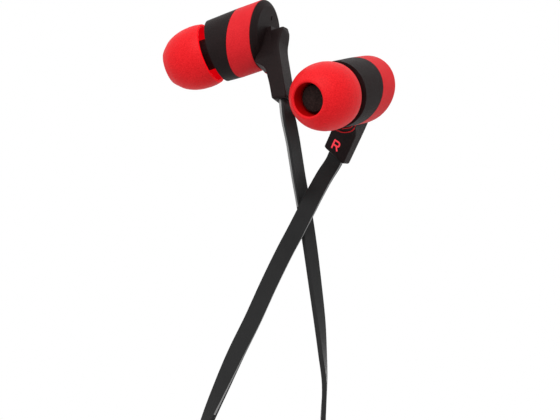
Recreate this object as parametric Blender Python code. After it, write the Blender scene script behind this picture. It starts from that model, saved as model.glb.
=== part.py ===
"""Wired in-ear earphones: two buds on flat cables, a Y splitter and an angled 3.5 mm plug.

Units are metres, +Z is up and the table is at z = 0. The origin lies on the table, under
the middle of the two buds. Each bud is modelled in its own frame: Z runs along the nozzle
towards the ear, X runs down the cable stem, and the Z = 0 plane cuts the bud's axis where
the red band meets the rear housing. The rear planes of the bud lean: they reach further
forward on the stem side, by the tangent of REAR_LEAN.
"""
import math

import bmesh
import bpy
from mathutils import Matrix, Vector

MM = 0.001
GAP = 0.3 * MM                        # clearance between pieces that seat on each other
HALF_GAP = GAP / 2

# Buds: where they lie on the table
LEFT_CENTRE = (-2.50 * MM, 8.32 * MM, 10.30 * MM)
LEFT_AZIMUTH = math.radians(196.7)
LEFT_ELEVATION = math.radians(-18.0)
LEFT_TURN = math.radians(19.8)
RIGHT_CENTRE = (15.99 * MM, -1.84 * MM, 9.68 * MM)
RIGHT_AZIMUTH = math.radians(197.6)
RIGHT_ELEVATION = math.radians(55.1)
RIGHT_TURN = math.radians(-33.2)

# Housing drum
DRUM_RADIUS = 6.2 * MM
DRUM_FRONT_RADIUS = 6.0 * MM
REAR_LEAN = math.radians(19.4)
BAND_LENGTH = 4.7 * MM
DRUM_LENGTH = 9.5 * MM                # from the band's rear edge to the front face
CHAMFER = 0.5 * MM
BAND_WALL = 0.9 * MM
CAP_RADIUS = 6.05 * MM
CAP_RIM = 0.3 * MM
CAP_CROWN = 0.5 * MM                  # how far the rear face stands behind the rim
CAP_STEP_RADIUS = 4.85 * MM
CAP_STEP = 0.12 * MM
CAP_FLOOR = 1.1 * MM
SPIGOT_WALL = 0.7 * MM
SPIGOT_REACH = 0.3 * MM               # how far the spigot passes the band into the front housing
VENT_PLACE = -2.9 * MM
VENT_LENGTH = 0.8 * MM
VENT_WIDTH = 0.45 * MM

# Nozzle and eartip
NOZZLE_RADIUS = 2.3 * MM
NOZZLE_RIDGE = 0.2 * MM
NOZZLE_BORE = 1.7 * MM
COLLAR_RADIUS = 2.95 * MM              # collar at the nozzle's foot, seen under the eartip's skirt
COLLAR_END = 12.9 * MM
NOZZLE_LENGTH = 7.5 * MM
FILTER_RADIUS = 2.4 * MM
FILTER_THICKNESS = 0.5 * MM
TIP_RADIUS = 6.0 * MM
TIP_RIM_RADIUS = 5.75 * MM
TIP_RIM_PLACE = 11.0 * MM
TIP_LENGTH = 8.7 * MM                 # from the rim to the mouth
TIP_WALL = 0.55 * MM
TIP_CORE_WALL = 0.7 * MM
TIP_MOUTH_RADIUS = 2.85 * MM

# Stem
STEM_END = 14.8 * MM
STEM_TOP = 1.0 * MM                   # how far the stem block rises past the bud's axis
STEM_WIDTH = 5.2 * MM
STEM_CORNER = 0.35 * MM
STEM_MIDDLE = -1.95 * MM              # axial place of the cable inside the stem
STEM_HALF_DEPTH = 1.55 * MM
STEM_WALL = 0.4 * MM
STEM_WAIST = 0.25 * MM                # how far the back is drawn in below the fin
SLOT_LENGTH = 2.6 * MM                # narrow slot at the end of the stem
FIN_DEPTH = 4.4 * MM
ANCHOR_LENGTH = 2.0 * MM
ANCHOR_DEPTH = 1.2 * MM

# Driver, 8 mm across
DRIVER_RADIUS = 4.0 * MM
DRIVER_FRONT = 8.3 * MM               # axial place of the driver's front plate
FRONT_PLATE_THICKNESS = 0.3 * MM
DIAPHRAGM_TRAVEL = 0.15 * MM
DIAPHRAGM_THICKNESS = 0.2 * MM
DIAPHRAGM_RIM = 0.35 * MM             # width of the basket's seat under the diaphragm
COIL_RADIUS = 1.65 * MM
COIL_WALL = 0.25 * MM
COIL_HEIGHT = 1.0 * MM
POLE_THICKNESS = 0.5 * MM
MAGNET_THICKNESS = 0.9 * MM
YOKE_WALL = 0.4 * MM
YOKE_BORE = 0.45 * MM
BASKET_THICKNESS = 0.5 * MM
BOARD_THICKNESS = 0.4 * MM
LEAD_RADIUS = 0.25 * MM

# Flat cable
CORD_WIDTH = 3.3 * MM
CORD_THICKNESS = 0.95 * MM
LANE_PITCH = 1.5 * MM

# Hank of cable put away past the buds: two straight sides joined by half circles. Its angles
# run anticlockwise, and the sides lie at 0 and 180 degrees
HANK_CENTRE = (0.0, -122.5 * MM)
HANK_SIDE = 40.0 * MM
HANK_RADIUS = 24.5 * MM
LOOP_STEP = 15                        # degrees between points on a half circle
LEFT_JOIN = 105                       # degrees round the hank where the left cable joins it
RIGHT_JOIN = 180
SPLITTER_ANGLE = 540
SPLITTER_RADIUS = 19.5 * MM
MAIN_UNDER_RADIUS = 16.7 * MM         # radius where the main cable first passes the splitter
MAIN_SWEEP = 1620                     # degrees from the splitter to the innermost side
PLUG_ANGLE = SPLITTER_ANGLE + MAIN_SWEEP + 180

# Splitter, tie and plug
SPLITTER_LENGTH = 10.0 * MM
SPLITTER_DEPTH = 3.9 * MM
SPLITTER_HEIGHT = 4.6 * MM
SPLITTER_WALL = 0.6 * MM
TIE_THICKNESS = 0.4 * MM
TIE_WIDTH = 3.5 * MM
PLUG_CHORD = 8.0 * MM                 # distance of the plug's body from the hank's centre
PLUG_BODY_LENGTH = 10.0 * MM
PLUG_BODY_WIDTH = 5.0 * MM
PLUG_BODY_HEIGHT = 5.5 * MM
PLUG_PIN_INSET = 2.7 * MM             # from the body's far end to the pin's axis
BOOT_LENGTH = 5.0 * MM
PIN_RADIUS = 1.75 * MM
PIN_LENGTH = 14.0 * MM
PIN_ROD_RADIUS = 0.45 * MM
PIN_TIP_LENGTH = 3.2 * MM
PIN_RING_LENGTH = 2.0 * MM
PIN_SPACER = 0.5 * MM

# How finely round pieces are divided
SHELL_SIDES = 28
INNER_SIDES = 20
SMALL_SIDES = 16

# Places that follow from the sizes above
LEAN = math.tan(REAR_LEAN)
BAND_BORE = DRUM_RADIUS - BAND_WALL
SPIGOT_RADIUS = BAND_BORE - GAP
CAP_BORE = SPIGOT_RADIUS - SPIGOT_WALL
CAP_BACK = -CAP_RIM - CAP_CROWN
NOZZLE_END = DRUM_LENGTH + NOZZLE_LENGTH
TIP_MOUTH = TIP_RIM_PLACE + TIP_LENGTH
TIP_BORE = NOZZLE_RADIUS + NOZZLE_RIDGE + GAP
STEM_FRONT = STEM_MIDDLE + STEM_HALF_DEPTH
STEM_BACK = STEM_MIDDLE - STEM_HALF_DEPTH
COIL_FLOOR = TIE_THICKNESS + GAP      # the hank lies on the tie's lower strap
COIL_HEIGHT_MIDDLE = COIL_FLOOR + CORD_WIDTH / 2
PLUG_MIDDLE = PLUG_BODY_HEIGHT / 2

# Cable routes on the table, in millimetres: x, y, z and the angle of the flat section,
# 0 with its broad face up and 90 standing on its edge
LEFT_ROUTE = [
    (2.0, -8.2, 17.6, 119), (2.8, -11.6, 15.6, 128), (3.5, -14.8, 11.6, 135),
    (4.2, -18.0, 6.6, 140), (4.8, -21.2, 2.7, 143), (5.4, -24.4, 1.4, 145),
    (6.0, -28.5, 1.3, 143), (6.6, -33.0, 1.27, 140), (7.4, -39.5, 1.4, 133),
    (8.2, -46.0, 1.5, 125), (8.7, -52.1, 1.63, 111), (9.1, -58.0, 1.7, 96),
    (8.8, -65.0, 1.7, 90), (8.85, -69.4, 1.8, 90), (8.0, -73.2, 1.9, 90),
    (5.6, -76.3, 2.0, 90), (2.2, -78.1, 2.15, 90),
]
RIGHT_ROUTE = [
    (9.2, -18.0, 2.3, 20), (7.3, -21.3, 3.5, 17), (5.4, -24.6, 4.1, 14),
    (3.2, -28.6, 3.1, 10), (1.0, -32.8, 1.5, 6), (-2.0, -39.0, 0.66, 3),
    (-5.0, -45.8, 0.64, 5), (-8.0, -52.1, 0.9, 18), (-10.8, -58.4, 1.25, 36),
    (-13.5, -64.8, 1.52, 54), (-16.8, -73.5, 1.7, 78), (-20.3, -84.0, 1.8, 90),
    (-22.8, -93.5, 2.0, 90),
]


# Materials ---------------------------------------------------------------------------------
def material(name, colour, roughness, metallic=0.0):
    found = bpy.data.materials.get(name)
    if found:
        return found
    made = bpy.data.materials.new(name)
    made.use_nodes = True
    shader = made.node_tree.nodes["Principled BSDF"]
    shader.inputs["Base Color"].default_value = (*colour, 1.0)
    shader.inputs["Roughness"].default_value = roughness
    shader.inputs["Metallic"].default_value = metallic
    return made


FINISHES = {
    "red_silicone": ((0.80, 0.02, 0.03), 0.45, 0.0),
    "red_plastic": ((0.66, 0.03, 0.04), 0.5, 0.0),
    "black_plastic": ((0.022, 0.019, 0.019), 0.5, 0.0),
    "black_cable": ((0.026, 0.026, 0.026), 0.6, 0.0),
    "grey_felt": ((0.03, 0.022, 0.022), 0.95, 0.0),
    "steel": ((0.55, 0.55, 0.56), 0.3, 1.0),
    "nickel": ((0.75, 0.74, 0.72), 0.2, 1.0),
    "gold": ((0.83, 0.62, 0.27), 0.22, 1.0),
    "copper": ((0.72, 0.36, 0.18), 0.35, 1.0),
    "clear_film": ((0.72, 0.66, 0.5), 0.25, 0.0),
    "circuit_board": ((0.02, 0.12, 0.05), 0.4, 0.0),
    "red_enamel": ((0.6, 0.05, 0.04), 0.3, 0.0),
    "green_enamel": ((0.05, 0.35, 0.12), 0.3, 0.0),
    "white_plastic": ((0.8, 0.8, 0.78), 0.4, 0.0),
}


def finish(obj, name):
    colour, roughness, metallic = FINISHES[name]
    obj.data.materials.append(material(name, colour, roughness, metallic))


# Mesh helpers ------------------------------------------------------------------------------
def add_object(name, data, finish_name, frame=None):
    obj = bpy.data.objects.new(name, data)
    bpy.context.scene.collection.objects.link(obj)
    if finish_name:
        finish(obj, finish_name)
    if frame:
        obj.parent = frame
    return obj


def add_cutter(name, data, frame=None):
    cutter = add_object(name, data, None, frame)
    cutter.hide_render = True
    cutter.display_type = 'WIRE'
    return cutter


def boolean(obj, other, operation):
    change = obj.modifiers.new(f"{operation.lower()}_{other.name}", 'BOOLEAN')
    change.operation = operation
    change.object = other


def mesh_from(name, mesh_edit, smooth_angle=35):
    bmesh.ops.recalc_face_normals(mesh_edit, faces=mesh_edit.faces)
    mesh = bpy.data.meshes.new(name)
    mesh_edit.to_mesh(mesh)
    mesh_edit.free()
    mesh.shade_smooth()
    mesh.set_sharp_from_angle(angle=math.radians(smooth_angle))
    return mesh


def turned(name, outline, segments, closed=True):
    """Turn an outline of (radius, axial place, share of the rear lean) about the Z axis."""
    edit = bmesh.new()
    rows = []
    for radius, place, lean in outline:
        if radius == 0:
            rows.append([edit.verts.new((0, 0, place))])
            continue
        row = []
        for step in range(segments):
            angle = 2 * math.pi * step / segments
            x = radius * math.cos(angle)
            row.append(edit.verts.new((x, radius * math.sin(angle), place + lean * LEAN * x)))
        rows.append(row)
    pairs = list(zip(rows, rows[1:]))
    if closed:
        pairs.append((rows[-1], rows[0]))
    for row, next_row in pairs:
        for step in range(segments):
            after = (step + 1) % segments
            corners = [row[step % len(row)], row[after % len(row)],
                       next_row[after % len(next_row)], next_row[step % len(next_row)]]
            edit.faces.new(list(dict.fromkeys(corners)))
    return mesh_from(name, edit)


def lofted(name, sections, smooth_angle=35):
    """Join sections, each a list of the same number of points, and close both ends."""
    edit = bmesh.new()
    rows = [[edit.verts.new(point) for point in section] for section in sections]
    count = len(rows[0])
    for row, next_row in zip(rows, rows[1:]):
        for step in range(count):
            after = (step + 1) % count
            edit.faces.new((row[step], row[after], next_row[after], next_row[step]))
    edit.faces.new(rows[0])
    edit.faces.new(rows[-1])
    return mesh_from(name, edit, smooth_angle)


def block(name, low, high):
    edit = bmesh.new()
    size = [b - a for a, b in zip(low, high)]
    middle = [(a + b) / 2 for a, b in zip(low, high)]
    bmesh.ops.create_cube(edit, size=1, matrix=Matrix.Translation(middle) @ Matrix.Diagonal((*size, 1)))
    return mesh_from(name, edit)


def rounded_block(name, low, high, radius, segments=2):
    edit = bmesh.new()
    size = [b - a for a, b in zip(low, high)]
    middle = [(a + b) / 2 for a, b in zip(low, high)]
    bmesh.ops.create_cube(edit, size=1, matrix=Matrix.Translation(middle) @ Matrix.Diagonal((*size, 1)))
    bmesh.ops.bevel(edit, geom=edit.edges[:], offset=radius, segments=segments, affect='EDGES', profile=0.5)
    return mesh_from(name, edit)


def disc(radius, low, high, edge=0.0):
    if edge:
        return [(0, low, 0), (radius, low, 0), (radius, high - edge, 0),
                (radius - edge, high, 0), (0, high, 0)]
    return [(0, low, 0), (radius, low, 0), (radius, high, 0), (0, high, 0)]


def ring(outer, inner, low, high):
    return [(outer, low, 0), (outer, high, 0), (inner, high, 0), (inner, low, 0)]


# Frames ------------------------------------------------------------------------------------
def bud_matrix(centre, azimuth, elevation, turn):
    """Z is the nozzle's direction, X the stem's: image-down turned about the nozzle."""
    flat = math.cos(elevation)
    axis = Vector((flat * math.cos(azimuth), flat * math.sin(azimuth), math.sin(elevation)))
    towards_cable = Vector((0, -1, 0))
    down = (towards_cable - axis * axis.dot(towards_cable)).normalized()
    across = axis.cross(down)
    stem = math.cos(turn) * down + math.sin(turn) * across
    side = axis.cross(stem)
    matrix = Matrix((stem, side, axis)).transposed().to_4x4()
    matrix.translation = centre
    return matrix


def add_frame(name, matrix):
    frame = bpy.data.objects.new(name, None)
    bpy.context.scene.collection.objects.link(frame)
    frame.matrix_world = matrix
    return frame


# Bud: shells -------------------------------------------------------------------------------
def front_housing_mesh():
    rear = BAND_LENGTH + HALF_GAP
    seat = DRIVER_FRONT + GAP
    pocket = DRIVER_RADIUS + GAP
    pocket_depth = 1.0 * MM
    outline = [
        (DRUM_RADIUS, rear, 1),
        (DRUM_FRONT_RADIUS, DRUM_LENGTH - CHAMFER, 0),
        (DRUM_FRONT_RADIUS - CHAMFER, DRUM_LENGTH, 0),
        (COLLAR_RADIUS + CHAMFER, DRUM_LENGTH, 0),
        (COLLAR_RADIUS, DRUM_LENGTH + CHAMFER, 0),
        (COLLAR_RADIUS, COLLAR_END, 0),
        (NOZZLE_RADIUS, COLLAR_END, 0),
        (NOZZLE_RADIUS, NOZZLE_END - 3 * CHAMFER, 0),
        (NOZZLE_RADIUS + NOZZLE_RIDGE, NOZZLE_END - 2 * CHAMFER, 0),
        (NOZZLE_RADIUS, NOZZLE_END, 0),
        (NOZZLE_BORE, NOZZLE_END, 0),
        (NOZZLE_BORE, seat, 0),
        (pocket, seat, 0),
        (pocket, seat - pocket_depth, 0),
        (BAND_BORE, seat - pocket_depth, 0),
        (BAND_BORE, rear, 1),
    ]
    return turned("front_housing", outline, SHELL_SIDES)


def accent_band_mesh():
    rear = HALF_GAP
    front = BAND_LENGTH - HALF_GAP
    outline = [(DRUM_RADIUS, rear, 1), (DRUM_RADIUS, front, 1), (BAND_BORE, front, 1), (BAND_BORE, rear, 1)]
    return turned("accent_band", outline, SHELL_SIDES)


def cap_mesh():
    spigot_end = BAND_LENGTH + HALF_GAP + SPIGOT_REACH
    outline = [
        (0, CAP_BACK - CAP_STEP, 1),
        (CAP_STEP_RADIUS, CAP_BACK - CAP_STEP, 1),
        (CAP_STEP_RADIUS + CAP_STEP, CAP_BACK, 1),
        (CAP_RADIUS - CAP_RIM, -CAP_RIM - CAP_RIM / 2, 1),
        (CAP_RADIUS, -CAP_RIM, 1),
        (CAP_RADIUS, -HALF_GAP, 1),
        (SPIGOT_RADIUS, -HALF_GAP, 1),
        (SPIGOT_RADIUS, spigot_end, 1),
        (CAP_BORE, spigot_end, 1),
        (CAP_BORE, CAP_BACK + CAP_FLOOR, 1),
        (0, CAP_BACK + CAP_FLOOR, 1),
    ]
    return turned("cap", outline, SHELL_SIDES, closed=False)


def stem_section(x, half_width, low, high, round_low, round_high):
    """A section across the stem, its corners cut at the low or the high side."""
    cut = STEM_CORNER
    low_cut = cut if round_low else 0.01 * MM
    high_cut = cut if round_high else 0.01 * MM
    return [(x, -half_width + low_cut, low), (x, half_width - low_cut, low),
            (x, half_width, low + low_cut), (x, half_width, high - high_cut),
            (x, half_width - high_cut, high), (x, -half_width + high_cut, high),
            (x, -half_width, high - high_cut), (x, -half_width, low + low_cut)]


def stem_front_mesh():
    """Front half of the stem, from the rear face down to the cable's exit."""
    half = STEM_WIDTH / 2
    low = STEM_MIDDLE + HALF_GAP
    root = DRUM_RADIUS + GAP
    foot = root + 2.1 * MM
    inside = CAP_BACK + CAP_FLOOR / 2
    rows = [
        (-STEM_TOP, half * 0.6, inside - STEM_TOP * LEAN),
        (0.0, half * 0.68, inside),
        (CAP_BORE, half * 0.95, inside + CAP_BORE * LEAN),
        (root, half, root * LEAN - CAP_RIM - GAP),
        (foot, half, STEM_FRONT + GAP),
        (STEM_END - STEM_CORNER, half, STEM_FRONT),
        (STEM_END, half - STEM_CORNER, STEM_FRONT - STEM_CORNER),
    ]
    sections = [stem_section(x, width, low, high, False, x >= root) for x, width, high in rows]
    return lofted("stem_front", sections)


def stem_cover_mesh():
    """Back half of the stem: the fin on the rear face, the waist and the straight end."""
    half = STEM_WIDTH / 2
    high = STEM_MIDDLE - HALF_GAP
    rows = [
        (-STEM_TOP, half * 0.35, high - 1.3 * MM),
        (-0.25 * MM, half * 0.43, -FIN_DEPTH),
        (0.35 * MM, half * 0.56, -FIN_DEPTH),
        (1.1 * MM, half * 0.68, -FIN_DEPTH),
        (2.6 * MM, half * 0.8, -FIN_DEPTH + 0.6 * MM),
        (4.4 * MM, half * 0.9, STEM_BACK + STEM_WAIST / 2),
        (6.6 * MM, half * 0.97, STEM_BACK + STEM_WAIST),
        (STEM_END - STEM_CORNER, half, STEM_BACK + STEM_WAIST),
        (STEM_END, half - STEM_CORNER, STEM_BACK + STEM_WAIST + STEM_CORNER),
    ]
    sections = [stem_section(x, width, low, high, True, False) for x, width, low in rows]
    return lofted("stem_cover", sections)


def channel_meshes():
    """Hollows of the stem: the long trough, the end slot and the way into the drum."""
    half = CORD_WIDTH / 2 + GAP
    over = 1 * MM
    ceiling = STEM_FRONT - STEM_WALL
    floor = STEM_BACK + STEM_WAIST + STEM_WALL
    slot = CORD_THICKNESS / 2 + GAP
    trough_end = STEM_END - SLOT_LENGTH
    trough = block("trough", (2.0 * MM, -half, floor), (trough_end, half, ceiling))
    slot_cut = block("slot", (trough_end - over, -half, STEM_MIDDLE - slot),
                     (STEM_END + over, half, STEM_MIDDLE + slot))
    way_in = block("way_in", (2.0 * MM, -1.2 * MM, STEM_MIDDLE), (CAP_BORE - GAP, 1.2 * MM, BAND_LENGTH / 2))
    vent = block("vent", (VENT_PLACE - VENT_LENGTH / 2, -VENT_WIDTH / 2, -3 * MM),
                 (VENT_PLACE + VENT_LENGTH / 2, VENT_WIDTH / 2, BAND_LENGTH / 2))
    return trough, slot_cut, way_in, vent


# Bud: eartip and filter --------------------------------------------------------------------
def eartip_mesh():
    core = TIP_BORE + TIP_CORE_WALL
    root = COLLAR_END + GAP
    inner = TIP_RADIUS - TIP_WALL
    lip = 0.25 * MM
    outline = [
        (TIP_RIM_RADIUS, TIP_RIM_PLACE, 0),
        (TIP_RADIUS, TIP_RIM_PLACE + 2.3 * MM, 0),
        (TIP_RADIUS * 0.985, TIP_RIM_PLACE + 3.8 * MM, 0),
        (TIP_RADIUS * 0.91, TIP_RIM_PLACE + 5.5 * MM, 0),
        (TIP_RADIUS * 0.80, TIP_RIM_PLACE + 6.9 * MM, 0),
        (TIP_RADIUS * 0.67, TIP_RIM_PLACE + 7.95 * MM, 0),
        (TIP_MOUTH_RADIUS + 2 * lip, TIP_MOUTH, 0),
        (TIP_MOUTH_RADIUS, TIP_MOUTH - lip, 0),
        (TIP_BORE, TIP_MOUTH - 4 * lip, 0),
        (TIP_BORE, root, 0),
        (core, root, 0),
        (core, TIP_RIM_PLACE + 5.2 * MM, 0),
        (inner * 0.82, TIP_RIM_PLACE + 5.3 * MM, 0),
        (inner * 0.94, TIP_RIM_PLACE + 3.9 * MM, 0),
        (inner, TIP_RIM_PLACE + 2.2 * MM, 0),
        (TIP_RIM_RADIUS - TIP_WALL, TIP_RIM_PLACE, 0),
    ]
    return turned("eartip", outline, SHELL_SIDES)


def filter_mesh():
    low = NOZZLE_END + GAP
    outline = disc(FILTER_RADIUS, low, low + FILTER_THICKNESS, 0.12 * MM)
    return turned("nozzle_filter", outline, SMALL_SIDES, closed=False)


# Bud: driver -------------------------------------------------------------------------------
def driver_meshes():
    """The loudspeaker, from its front plate back to the terminal board."""
    plate_low = DRIVER_FRONT - FRONT_PLATE_THICKNESS
    rim_top = plate_low - 2 * GAP - DIAPHRAGM_THICKNESS
    film_low = rim_top + GAP
    film_high = film_low + DIAPHRAGM_THICKNESS
    film_radius = DRIVER_RADIUS - 0.3 * MM
    coil_outer = COIL_RADIUS + COIL_WALL
    coil_high = film_low - HALF_GAP * 2
    coil_low = coil_high - COIL_HEIGHT
    pole_radius = COIL_RADIUS - GAP
    pole_high = coil_high - 0.2 * MM
    pole_low = pole_high - POLE_THICKNESS
    magnet_high = pole_low - GAP
    magnet_low = magnet_high - MAGNET_THICKNESS
    yoke_bore = coil_outer + GAP
    yoke_radius = yoke_bore + YOKE_WALL
    yoke_floor = magnet_low - GAP
    yoke_low = yoke_floor - YOKE_WALL
    basket_bore = yoke_radius + GAP
    basket_floor = pole_high - 1.0 * MM
    board_high = yoke_low - GAP
    board_low = board_high - BOARD_THICKNESS
    sound_hole = 1.3 * MM
    meshes = {}
    meshes["driver_front_plate"] = turned("driver_front_plate", [
        (DRIVER_RADIUS, plate_low, 0), (DRIVER_RADIUS, DRIVER_FRONT, 0),
        (sound_hole, DRIVER_FRONT, 0), (sound_hole, plate_low, 0)], INNER_SIDES)
    meshes["diaphragm"] = turned("diaphragm", [
        (0, film_low, 0), (coil_outer, film_low, 0), (film_radius, film_low, 0),
        (film_radius, film_high, 0), (coil_outer, film_high, 0),
        (coil_outer * 0.6, film_high + 0.15 * MM, 0), (0, film_high + 0.22 * MM, 0)],
        INNER_SIDES, closed=False)
    meshes["voice_coil"] = turned("voice_coil", ring(coil_outer, COIL_RADIUS, coil_low, coil_high),
                                  SMALL_SIDES)
    meshes["driver_pole_plate"] = turned("driver_pole_plate", disc(pole_radius, pole_low, pole_high),
                                         SMALL_SIDES, closed=False)
    meshes["driver_magnet"] = turned("driver_magnet", disc(pole_radius, magnet_low, magnet_high),
                                     SMALL_SIDES, closed=False)
    meshes["driver_yoke"] = turned("driver_yoke", [
        (yoke_radius, yoke_low, 0), (yoke_radius, pole_high, 0), (yoke_bore, pole_high, 0),
        (yoke_bore, yoke_floor, 0), (YOKE_BORE, yoke_floor, 0), (YOKE_BORE, yoke_low, 0)], SMALL_SIDES)
    meshes["driver_basket"] = turned("driver_basket", [
        (DRIVER_RADIUS, basket_floor - BASKET_THICKNESS, 0), (DRIVER_RADIUS, rim_top, 0),
        (film_radius - DIAPHRAGM_RIM, rim_top, 0), (film_radius - DIAPHRAGM_RIM, basket_floor, 0),
        (basket_bore, basket_floor, 0), (basket_bore, basket_floor - BASKET_THICKNESS, 0)], INNER_SIDES)
    meshes["terminal_board"] = turned("terminal_board", ring(
        yoke_radius, YOKE_BORE + 0.6 * MM, board_low, board_high), SMALL_SIDES)
    return meshes, board_low


def lead_points(side, board_low):
    """One enamelled lead, from the anchor in the stem up to the terminal board."""
    anchor_top = STEM_END - SLOT_LENGTH - GAP - ANCHOR_LENGTH
    spread = 0.75 * MM
    pad = 1.7 * MM
    return [
        (anchor_top - GAP, side * spread, STEM_MIDDLE),
        (anchor_top - 3 * MM, side * spread, STEM_MIDDLE + 0.1 * MM),
        (5.0 * MM, side * spread, STEM_MIDDLE + 0.1 * MM),
        (3.3 * MM, side * spread, STEM_MIDDLE + 0.9 * MM),
        (2.6 * MM, side * spread, 0.4 * MM),
        (2.2 * MM, side * spread * 1.1, board_low - 1.2 * MM),
        (pad, side * spread * 1.1, board_low - GAP),
    ]


# Cable helpers -----------------------------------------------------------------------------
def smooth_through(points, steps):
    """A smooth curve through points of any dimension, with steps on each stretch."""
    rows = [Vector(point) for point in points]
    ends = [2 * rows[0] - rows[1]] + rows + [2 * rows[-1] - rows[-2]]
    curve = []
    for before, start, end, after in zip(ends, ends[1:], ends[2:], ends[3:]):
        for step in range(steps):
            t = step / steps
            curve.append(0.5 * ((2 * start) + (end - before) * t
                                + (2 * before - 5 * start + 4 * end - after) * t ** 2
                                + (3 * start - before - 3 * end + after) * t ** 3))
    curve.append(rows[-1])
    return curve


def tube(name, points, turns, width, thickness, sides_level, finish_name, frame=None):
    """A flat cable along points: turns holds the angle of its section at each point."""
    data = bpy.data.curves.new(name, 'CURVE')
    data.dimensions = '3D'
    data.twist_mode = 'Z_UP'
    data.fill_mode = 'FULL'
    data.use_fill_caps = True
    data.extrude = (width - thickness) / 2
    data.bevel_depth = thickness / 2
    data.bevel_resolution = sides_level
    spline = data.splines.new('POLY')
    spline.points.add(len(points) - 1)
    for place, point, turn in zip(spline.points, points, turns):
        place.co = (*point[:3], 1)
        place.tilt = turn
    return add_object(name, data, finish_name, frame)


def flat_cord(name, points, sides_level):
    """points hold x, y, z in metres and the section's angle in degrees."""
    turns = [math.radians(point[3] - 90) for point in points]
    return tube(name, points, turns, CORD_WIDTH, CORD_THICKNESS, sides_level, "black_cable")


def section_angle(direction, broad):
    """The angle of a flat section whose broad side lies along broad, in degrees."""
    up = (Vector((0, 0, 1)) - direction * direction.z).normalized()
    right = up.cross(direction)
    return math.degrees(math.atan2(broad.dot(up), broad.dot(right)))


def stem_exit(matrix):
    """Points of the cable inside its stem and just past the exit."""
    direction = matrix.to_3x3() @ Vector((1, 0, 0))
    angle = section_angle(direction, matrix.to_3x3() @ Vector((0, 1, 0)))
    start = STEM_END - SLOT_LENGTH
    places = (start, STEM_END, STEM_END + CORD_THICKNESS * 2)
    points = [matrix @ Vector((place, 0, STEM_MIDDLE)) for place in places]
    return [(*point, angle % 180) for point in points]


def route_points(route):
    return [(x * MM, y * MM, z * MM, turn) for x, y, z, turn in route]


def hank_heading(degrees):
    angle = math.radians(degrees)
    return Vector((-math.sin(angle), math.cos(angle)))


def side_point(degrees, chord, along, height=COIL_HEIGHT_MIDDLE):
    """A point beside the hank's middle: chord out towards this angle, then along its heading."""
    out = Vector((math.cos(math.radians(degrees)), math.sin(math.radians(degrees))))
    place = Vector(HANK_CENTRE) + out * chord + hank_heading(degrees) * along
    return (*place, height, 90)


def hank_points(first, last, radius_at):
    """Points round the hank. Each straight side has one at its start and one at its end."""
    points = []
    for degrees in range(first, last + 1, LOOP_STEP):
        angle = math.radians(degrees)
        ends = [math.copysign(1, math.sin(angle))]
        if degrees % 180 == 0:
            far = -1 if degrees % 360 == 0 else 1
            ends = [far, -far]
        radius = radius_at(degrees)
        for end in ends:
            points.append((HANK_CENTRE[0] + radius * math.cos(angle),
                           HANK_CENTRE[1] + radius * math.sin(angle) + end * HANK_SIDE / 2,
                           COIL_HEIGHT_MIDDLE, 90))
    return points


def bend(start, start_heading, end, end_heading, count):
    """Points between two places, leaving and arriving along the two flat headings."""
    first, last = Vector(start[:2]), Vector(end[:2])
    reach = (last - first).length
    points = []
    for step in range(1, count):
        t = step / count
        place = (first * (2 * t ** 3 - 3 * t ** 2 + 1) + start_heading * reach * (t ** 3 - 2 * t ** 2 + t)
                 + last * (3 * t ** 2 - 2 * t ** 3) + end_heading * reach * (t ** 3 - t ** 2))
        height = start[2] + (end[2] - start[2]) * t
        points.append((*place, height, 90))
    return points


def arm_radius(degrees, lane):
    drop = 2 * LANE_PITCH * (degrees - LEFT_JOIN) / 360
    return HANK_RADIUS - drop - lane * LANE_PITCH


def main_radius(degrees):
    """Inwards past the splitter, then turn by turn, then across to the plug."""
    gone = degrees - SPLITTER_ANGLE
    if gone < 360:
        return SPLITTER_RADIUS + (MAIN_UNDER_RADIUS - SPLITTER_RADIUS) * gone / 360
    inner = MAIN_UNDER_RADIUS - LANE_PITCH * (min(gone, MAIN_SWEEP) - 360) / 360
    return inner + (PLUG_CHORD - inner) * max(0, gone - MAIN_SWEEP) / 180


def arm_coil_points(join, lane):
    """A bud's cable round the hank, into its own entry of the splitter."""
    points = hank_points(join, SPLITTER_ANGLE, lambda degrees: arm_radius(degrees, lane))[:-1]
    heading = hank_heading(SPLITTER_ANGLE)
    offset = SPLITTER_RADIUS + (0.5 - lane) * LANE_PITCH
    entry = -(SPLITTER_LENGTH / 2 + GAP)
    straight = side_point(SPLITTER_ANGLE, offset, entry - CORD_WIDTH)
    points += bend(points[-1], heading, straight, heading, 3)
    return points + [straight, side_point(SPLITTER_ANGLE, offset, entry)]


def main_coil_points():
    """The main cable from the splitter inwards to the plug's boot."""
    leave = SPLITTER_LENGTH / 2 + GAP
    start = [side_point(SPLITTER_ANGLE, SPLITTER_RADIUS, leave + back) for back in (0, CORD_WIDTH)]
    turns = hank_points(SPLITTER_ANGLE, PLUG_ANGLE, main_radius)[1:-1]
    heading = hank_heading(PLUG_ANGLE)
    end = -(boot_end() + GAP)
    last = [side_point(PLUG_ANGLE, PLUG_CHORD, place, PLUG_MIDDLE) for place in (end - CORD_WIDTH, end)]
    return start + turns + bend(turns[-1], heading, last[0], heading, 3) + last


def boot_end():
    """How far the boot's cable end lies before the middle of the hank."""
    return 1.0 * MM + BOOT_LENGTH


def least_gap(points, thickness):
    """Least clear distance of a coiled cable to its own other turns."""
    places = [Vector(point[:3]) for point in points]
    travelled = [0.0]
    for before, after in zip(places, places[1:]):
        travelled.append(travelled[-1] + (after - before).length)
    apart = 20 * MM
    least = 1.0
    for i, place in enumerate(places):
        for j in range(i + 1, len(places) - 1):
            if travelled[j] - travelled[i] < apart:
                continue
            run = places[j + 1] - places[j]
            share = max(0.0, min(1.0, (place - places[j]).dot(run) / run.length_squared))
            least = min(least, (places[j] + run * share - place).length)
    return least - thickness


def length_of(points):
    places = [Vector(point[:3]) for point in points]
    return sum((after - before).length for before, after in zip(places, places[1:]))


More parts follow.
